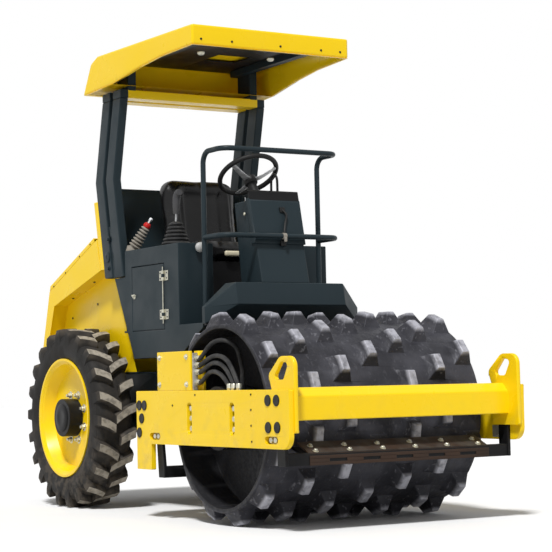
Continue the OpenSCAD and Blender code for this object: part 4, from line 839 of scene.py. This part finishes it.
def dash_fittings():
    """What sits on the dash and on the hand rail in front of it."""
    instruments()
    latch = bmesh.new()
    sweep(latch, curved([(dash_x(z) + lift, y, z) for y, z, lift in HOLD_LINE]), 0.006, 12)
    for z, near, far in HOLD_ENDS:
        slab(latch, (dash_x(z) - 0.004, near, z - 0.014), (dash_x(z) + 0.01, far, z + 0.014), 0.003)
    crest = dash_x(VISOR_TOP) - 0.009
    sweep(latch, [(crest, y, VISOR_TOP) for y in (-VISOR_HALF, VISOR_HALF)], 0.0075)
    piece("dash_latch", latch, "black_plastic", "dash")
    visor, rows = bmesh.new(), []
    for z in (VISOR_FOOT, VISOR_TOP):
        rows.append([visor.verts.new((dash_x(z) + off, y, z)) for off, y in
                     ((VISOR_BACK, -VISOR_HALF), (VISOR_FRONT, -VISOR_HALF),
                      (VISOR_FRONT, VISOR_HALF), (VISOR_BACK, VISOR_HALF))])
    loft(visor, rows)
    piece("dash_visor", visor, "black_paint", "dash")
    clip = bmesh.new()
    rail = Vector((0.4645, 0.008, 1.412))
    lathe(clip, CLIP, rail, ACROSS, 28, True)
    slab(clip, rail + Vector((0.012, -0.008, -0.03)), rail + Vector((0.018, 0.008, -0.004)))
    piece("rail_clip", clip, "gaiter_plastic", "handrail")
    hoop = bmesh.new()
    sweep(hoop, curved([(x, HOOP_Y, z) for x, z in HOOP]), 0.0065)
    piece("dash_hoop", hoop, "black_paint", "dash")
    steering_wheel()
    places = [(FLANGE_X, y, FLANGE_Z) for y in (-FLANGE_Y, FLANGE_Y)]
    spun("rail_flanges", FLANGE, places, UP, 32, "black_paint", "handrail")


CONSOLE_Z = 1.392
TRAVEL_FOOT = Vector((-0.0715, -0.33, CONSOLE_Z))
# inset and share of the height for the points of one fold
BOOT_FOLD = ((0.008, 0.05), (0.001, 0.3), (0, 0.5), (0.003, 0.75))
TRAVEL_GRIP = ((0.006, 0, 0.172), (0.009, 0, 0.215), (0.014, 0, 0.255), (0.028, 0, 0.278), (0.048, 0, 0.283))
GRIP_THIN, GRIP_SWELL = 0.013, 0.008
BRAKE_FOOT = Vector((-0.418, -0.415, CONSOLE_Z))
BRAKE_LEAN = Vector((0.389, 0.384, 0.837))
GAITER_FOLD = ((0.015, 0), (0.003, 0.35), (0, 0.5), (0.003, 0.65))
GAITER_FOOT = ((0.034, 0), (0.034, 0.006), (0.03, 0.012), (0.026, 0.03), (0, 0.03))
BRAKE_KNOB = ((0.013, 0.148), (0.02, 0.152), (0.021, 0.164), (0.015, 0.174), (0.011, 0.176), (0, 0.176))
BRAKE_TIP = ((0.008, 0.172), (0.008, 0.19), (0.011, 0.194), (0.011, 0.202), (0.006, 0.208), (0, 0.209))
CONSOLE_KNOB = ((0.012, 0), (0.012, 0.008), (0.022, 0.012), (0.026, 0.02), (0.025, 0.03), (0.018, 0.037),
                (0, 0.04))
KNOB_PLACE = (0.1725, -0.335, 1.368)


def bellows(fold, count, foot, tall, wide, taper):
    """The folds of a boot's profile, which narrows upward."""
    return [(wide - taper * i / count - inset, foot + tall * i / count + tall / count * share)
            for i in range(count) for inset, share in fold]


def levers():
    """The travel lever and the brake lever in their boots, the seat's handle and the console's knob."""
    folds = bellows(BOOT_FOLD, 6, 0.006, 0.122, 0.077, 0.046)
    boot = [(0.08, 0), (0.08, 0.006), *folds, (0.012, 0.132), (0, 0.132)]
    made = spun("travel_lever_boot", boot, [TRAVEL_FOOT], UP, 40, "hose_rubber", "travel_lever", 60)
    shaft = bmesh.new()
    sweep(shaft, (TRAVEL_FOOT + Vector((0, 0, 0.12)), TRAVEL_FOOT + Vector((0.008, 0, 0.2))), 0.0055)
    piece("travel_lever_rod", shaft, "cast_metal", "travel_lever")
    grip = bmesh.new()
    line = curved([TRAVEL_FOOT + Vector(p) for p in TRAVEL_GRIP])
    shares = [0.12 + 0.76 * i / (len(line) - 1) for i in range(len(line))]
    sweep(grip, line, [GRIP_THIN + GRIP_SWELL * math.sin(math.pi * share) for share in shares], 18)
    piece("travel_lever_grip", grip, "engine_iron", "travel_lever", 60)
    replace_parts(made, "travel_lever")
    gaiter = bmesh.new()
    folds = bellows(GAITER_FOLD, 7, 0, 0.126, 0.037, 0.013)
    lathe(gaiter, [(0, 0), *folds, (0.012, 0.128), (0, 0.128)],
          BRAKE_FOOT + BRAKE_LEAN * 0.024, BRAKE_LEAN, 36)
    lathe(gaiter, GAITER_FOOT, BRAKE_FOOT, UP, 36)
    made = piece("brake_gaiter", gaiter, "gaiter_plastic", "brake_lever", 60)
    spun("brake_knob", BRAKE_KNOB, [BRAKE_FOOT], BRAKE_LEAN, 28, "red_plastic", "brake_lever")
    spun("brake_tip", BRAKE_TIP, [BRAKE_FOOT], BRAKE_LEAN, 24, "chrome_plate", "brake_lever")
    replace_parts(made, "brake_lever")
    handle = bmesh.new()
    slab(handle, (-0.026, -0.068, 1.342), (-0.006, 0.058, 1.372), 0.0095)
    piece("seat_handle", handle, "cream_plastic", "seat_box")
    spun("console_knob", CONSOLE_KNOB, [KNOB_PLACE], AHEAD, 32, "grey_plastic", "side_box_right", 60)


POST_W, BEAM_H = 0.048, 0.047
ROOF_SCREWS, ROOF_SCREW_DROP = (-0.42, -0.24, 0.05, 0.3, 0.42), 0.075
ROOF_STUDS, ROOF_STUD_Z = ((0.18, -0.3), (0.18, 0.12)), 2.385
ROOF_STUD = ((0.02, 0), (0.02, 0.006), (0.015, 0.014), (0, 0.018))
# corners of the liner's sheets, which leave one field of the roof free
LINER = (((-0.66, -0.45), (0.3, 0.0)), ((-0.66, 0.2), (0.3, 0.45)), ((-0.16, 0.0), (0.3, 0.2)),
         ((-0.66, 0.0), (-0.34, 0.2)))
LINER_FOOT, LINER_TOP = 2.452, 2.458


def roof_fittings():
    """Screws and studs of the roof, its beams in yellow between the posts, and its dark liner."""
    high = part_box("roof")[1]
    places = [(high.x, y, high.z - ROOF_SCREW_DROP) for y in ROOF_SCREWS]
    screws("roof_screws", places, AHEAD, 0.006, "black_plastic", "roof")
    places = [(x, y, ROOF_STUD_Z) for x, y in ROOF_STUDS]
    spun("roof_studs", ROOF_STUD, places, (0, 0, -1), 28, "zinc_plate", "roof_frame")
    beams = bpy.data.objects["roof_frame_body"].data
    beams.materials.append(FINISHES["yellow_paint"])
    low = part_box("roof_frame")[0]
    inner, top = -low.y - POST_W, low.z + BEAM_H
    bm = bmesh.new()
    bm.from_mesh(beams)
    for y in (-inner, inner):
        whole = [*bm.verts, *bm.edges, *bm.faces]
        bmesh.ops.bisect_plane(bm, geom=whole, plane_co=(0, y, 0), plane_no=ACROSS)
    for face in bm.faces:
        middle = face.calc_center_median()
        face.material_index = int(middle.z < top and abs(middle.y) < inner)
    bm.to_mesh(beams)
    bm.free()
    liner = bmesh.new()
    for corner, other in LINER:
        slab(liner, (*corner, LINER_FOOT), (*other, LINER_TOP), THIN_EDGE)
    piece("roof_liner", liner, "black_paint", "roof")


LINING_FOOT, LINING_STEPS, LINING_DROP, LINING_T = 1.4, 8, 0.012, 0.003
WALL_HALF, WALL_BACK, WALL_FRONT = 0.405, -0.03, 0.0035
# heights over the top of the wall's solid, and how far the edge is drawn in there
WALL_EDGE = ((-0.014, 0.0), (0.079, 0.0), (0.082, 0.003))


def lining():
    """The dark inner face of the wall behind the seat, and the wall's edge above its solid."""
    bm = bmesh.new()
    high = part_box("bulkhead")[1]
    wall = skin("bulkhead")
    tall, inset = high.z - LINING_DROP - LINING_FOOT, WALL_HALF - LINING_T
    rows = []
    for i in range(LINING_STEPS + 1):
        z = LINING_FOOT + tall * i / LINING_STEPS
        hit = wall.ray_cast((0, 0.3, z), (-1, 0, 0))[0]
        rows.append([bm.verts.new((hit.x + off, y, z)) for off, y in
                     ((0, -WALL_HALF), (LINING_T, -inset), (LINING_T, inset), (0, WALL_HALF))])
    loft(bm, rows)
    last, before = rows[-1][0].co, rows[-2][0].co
    lean = (last.x - before.x) / (last.z - before.z)
    edge = []
    for rise, trim in WALL_EDGE:
        x = hit.x + lean * (rise + LINING_DROP)
        back, front, half = WALL_BACK + trim, WALL_FRONT - trim, WALL_HALF - trim
        edge.append([bm.verts.new((x + off, y, high.z + rise)) for off, y in
                     ((back, -half), (front, -half), (front, half), (back, half))])
    loft(bm, edge)
    piece("bulkhead_lining", bm, "slate_paint", "bulkhead")


SWELL_FRAMES, SWELL_CAP = 20, 0.022
PAD_SHRINK, PAD_VOXEL, PAD_SMOOTH = 0.99, 0.006, 14


def swollen(made):
    """Fills a cushion with air for a moment, and keeps each point within the cap of where it was."""
    before = [v.co.copy() for v in made.data.vertices]
    cloth = made.modifiers.new("fill", "CLOTH")
    rules = cloth.settings
    rules.use_pressure = True
    rules.uniform_pressure_force = 4
    rules.effector_weights.gravity = 0
    rules.bending_stiffness = 8
    rules.tension_stiffness = rules.compression_stiffness = 40
    rules.shear_stiffness = 20
    scene = bpy.context.scene
    for at in range(SWELL_FRAMES):
        scene.frame_set(at + 1)
    after = made.evaluated_get(bpy.context.evaluated_depsgraph_get()).to_mesh()
    moved = [v.co.copy() for v in after.vertices]
    made.modifiers.remove(cloth)
    scene.frame_set(1)
    for v, old, new in zip(made.data.vertices, before, moved):
        step = new - old
        v.co = old + step * min(1.0, SWELL_CAP / max(step.length, 1e-9))


def cushion(name, node, dip):
    """A seat pad from the CAD solid: filled with air, drawn in between its rolls and smoothed."""
    bm = bmesh.new()
    bm.from_mesh(NODES[node].data)
    bmesh.ops.remove_doubles(bm, verts=bm.verts, dist=WELD)
    middle = sum(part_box(node), Vector()) / 2
    for v in bm.verts:
        v.co = middle + (v.co - middle) * PAD_SHRINK
    made = piece(name, bm, "seat_vinyl", node, 80)
    remesh = made.modifiers.new("even", "REMESH")
    remesh.mode = "VOXEL"
    remesh.voxel_size = PAD_VOXEL
    bpy.context.view_layer.update()
    even = bpy.data.meshes.new_from_object(made.evaluated_get(bpy.context.evaluated_depsgraph_get()))
    made.modifiers.clear()
    made.data = even
    even.materials.clear()
    even.materials.append(FINISHES["seat_vinyl"])
    swollen(made)
    soft = bmesh.new()
    soft.from_mesh(even)
    for _ in range(PAD_SMOOTH):
        bmesh.ops.smooth_vert(soft, verts=soft.verts, factor=0.5,
                              use_axis_x=True, use_axis_y=True, use_axis_z=True)
    low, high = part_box(node)
    for v in soft.verts:
        v.co += dip(v.co)
        v.co = Vector(min(max(c, lo), hi) for c, lo, hi in zip(v.co, low, high))
    soft.to_mesh(even)
    soft.free()
    even.polygons.foreach_set("use_smooth", [True] * len(even.polygons))
    made.modifiers.new("smooth", "SUBSURF").levels = 1
    made.modifiers["smooth"].render_levels = 1
    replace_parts(made, node)


def ease(value, low, high):
    """Goes smoothly from 0 to 1 while the value goes from low to high."""
    t = min(max((value - low) / (high - low), 0.0), 1.0)
    return t * t * (3 - 2 * t)


SEAM_Y, SEAM_HALF = 0.168, 0.006
BACK_DEEP, BACK_LEAN = 0.047, 0.146


def seam(co):
    """One on the seams between a cushion's middle and its rolls, and nothing beside them."""
    return math.exp(-((abs(co.y) - SEAM_Y) / SEAM_HALF) ** 2)


def seat():
    """The seat's two pads, each hollow in the middle and drawn in at its seams."""
    low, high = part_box("seat_cushion")
    back_low, back_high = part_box("seat_back")

    def sunk(co):
        rise = ease(co.z, low.z + 0.04, low.z + 0.08)
        hollow = (1 - ease(abs(co.y), 0.1, 0.165)) * ease(co.x, low.x + 0.02, low.x + 0.06)
        hollow *= 1 - ease(co.x, high.x - 0.09, high.x - 0.03)
        return Vector((0, 0, -rise * (0.022 * hollow + 0.006 * seam(co))))

    def drawn(co):
        lean = back_high.x - BACK_DEEP - (co.z - back_low.z) * BACK_LEAN
        front = ease(co.x, lean - 0.03, lean)
        hollow = 1 - ease(abs(co.y), 0.1, 0.16)
        hollow *= 1 - ease(co.z, back_high.z - 0.11, back_high.z - 0.03)
        line = seam(co) * (1 - ease(co.z, back_high.z - 0.1, back_high.z - 0.05))
        return Vector((-front * (0.034 * hollow + 0.005 * line), 0, 0))

    cushion("seat_cushion_pad", "seat_cushion", sunk)
    cushion("seat_back_pad", "seat_back", drawn)


SKY_LIGHT, SKY_SEEN = 0.33, 1.0
SUN_POWER, SUN_ANGLE, SUN_FROM = 3.0, math.radians(8), Vector((0.41, -0.39, 0.82))
FLOOR_SIZE = 40
FLOOR_WHITE, FLOOR_GREY, FLOOR_BOUNCE = ((tone, tone, tone, 1) for tone in (0.96, 0.94, 0.74))


def studio():
    """A white world with one sun over a white floor, both dimmer for bounced light than to the eye."""
    scene = bpy.context.scene
    scene.world = world = bpy.data.worlds.new("studio")
    world.use_nodes = True
    nodes, links = world.node_tree.nodes, world.node_tree.links
    level = nodes.new("ShaderNodeMapRange")
    level.inputs["To Min"].default_value = SKY_LIGHT
    level.inputs["To Max"].default_value = SKY_SEEN
    links.new(seen_straight(nodes, links), level.inputs["Value"])
    sky = nodes["Background"]
    sky.inputs["Color"].default_value = (1, 1, 1, 1)
    links.new(level.outputs["Result"], sky.inputs["Strength"])
    sun = bpy.data.lights.new("key", "SUN")
    sun.energy = SUN_POWER
    sun.angle = SUN_ANGLE
    lamp = bpy.data.objects.new("key", sun)
    lamp.rotation_mode = "QUATERNION"
    lamp.rotation_quaternion = SUN_FROM.to_track_quat("Z", "Y")
    scene.collection.objects.link(lamp)
    floor = Finish("studio_floor", FLOOR_WHITE, 0.8, shine=0.1)
    floor.mottle(FLOOR_GREY, 3, 4, 0.5, 0.3)
    floor.over(floor.math("SUBTRACT", 1.0, seen_straight(floor.nodes, floor.links)), FLOOR_BOUNCE)
    bm = bmesh.new()
    bmesh.ops.create_grid(bm, x_segments=2, y_segments=2, size=FLOOR_SIZE)
    mesh = bpy.data.meshes.new("floor_ground")
    bm.to_mesh(mesh)
    bm.free()
    mesh.materials.append(floor.material)
    ground = bpy.data.objects.new("studio_floor", mesh)
    scene.collection.objects.link(ground)


SENSOR_MM, LENS_MM = 36, 113.4
EYE = (7.9895, -4.642, 0.679)
EYE_RIGHT, EYE_UP = Vector((0.52011, 0.85386, -0.02038)), Vector((0.06169, -0.01375, 0.998))
EYE_AHEAD = Vector((-0.85187, 0.52033, 0.05983))


def camera():
    """The view of the photo."""
    scene = bpy.context.scene
    lens = bpy.data.cameras.new("camera")
    lens.sensor_width = SENSOR_MM
    lens.lens = LENS_MM
    eye = bpy.data.objects.new("camera", lens)
    turned = Matrix((EYE_RIGHT, EYE_UP, -EYE_AHEAD)).transposed().to_4x4()
    eye.matrix_world = Matrix.Translation(EYE) @ turned
    scene.collection.objects.link(eye)
    scene.camera = eye
    scene.view_settings.view_transform = "Standard"


for cad_node, cad_object in NODES.items():
    cad_object.data.materials.clear()
    cad_object.data.materials.append(FINISHES[SLOT_OF[cad_node]])
    cad_object.data.polygons.foreach_set("use_smooth", [True] * len(cad_object.data.polygons))
    cad_object.data.set_sharp_from_angle(angle=CAD_ANGLE)

SOFT_EDGES = {
    "roof": 0.012, "hood_lid": 0.003, "bulkhead": 0.004, "side_plate_right": 0.003,
    "side_plate_left": 0.003, "front_bar": 0.006, "rear_beam": 0.005, "valve_cover": 0.004,
    "valve_block": 0.003, "side_box_right": 0.004, "side_box_left": 0.004, "door_right": 0.0015,
    "door_left": 0.0015, "front_box": 0.004, "dash": 0.006, "rops": 0.006, "roof_frame": 0.004,
    "seat_box": 0.008, "floor": 0.002, "chassis": 0.004, "drum": 0.005, "front_scraper": 0.003,
    "rear_scraper": 0.003, "engine": 0.015, "hub_right": 0.003, "hub_left": 0.003}
for cad_node, edge_width in SOFT_EDGES.items():
    softened(cad_node, edge_width)
for side_name, side_sign in SIDES:
    frame_fittings(side_name, side_sign)
    wheel_fittings(side_name, side_sign)
    door_fittings(side_name, side_sign)
    hood_fittings(side_name, side_sign)
valve_fittings()
scraper_fittings()
dash_fittings()
levers()
roof_fittings()
lining()
seat()
studio()
camera()
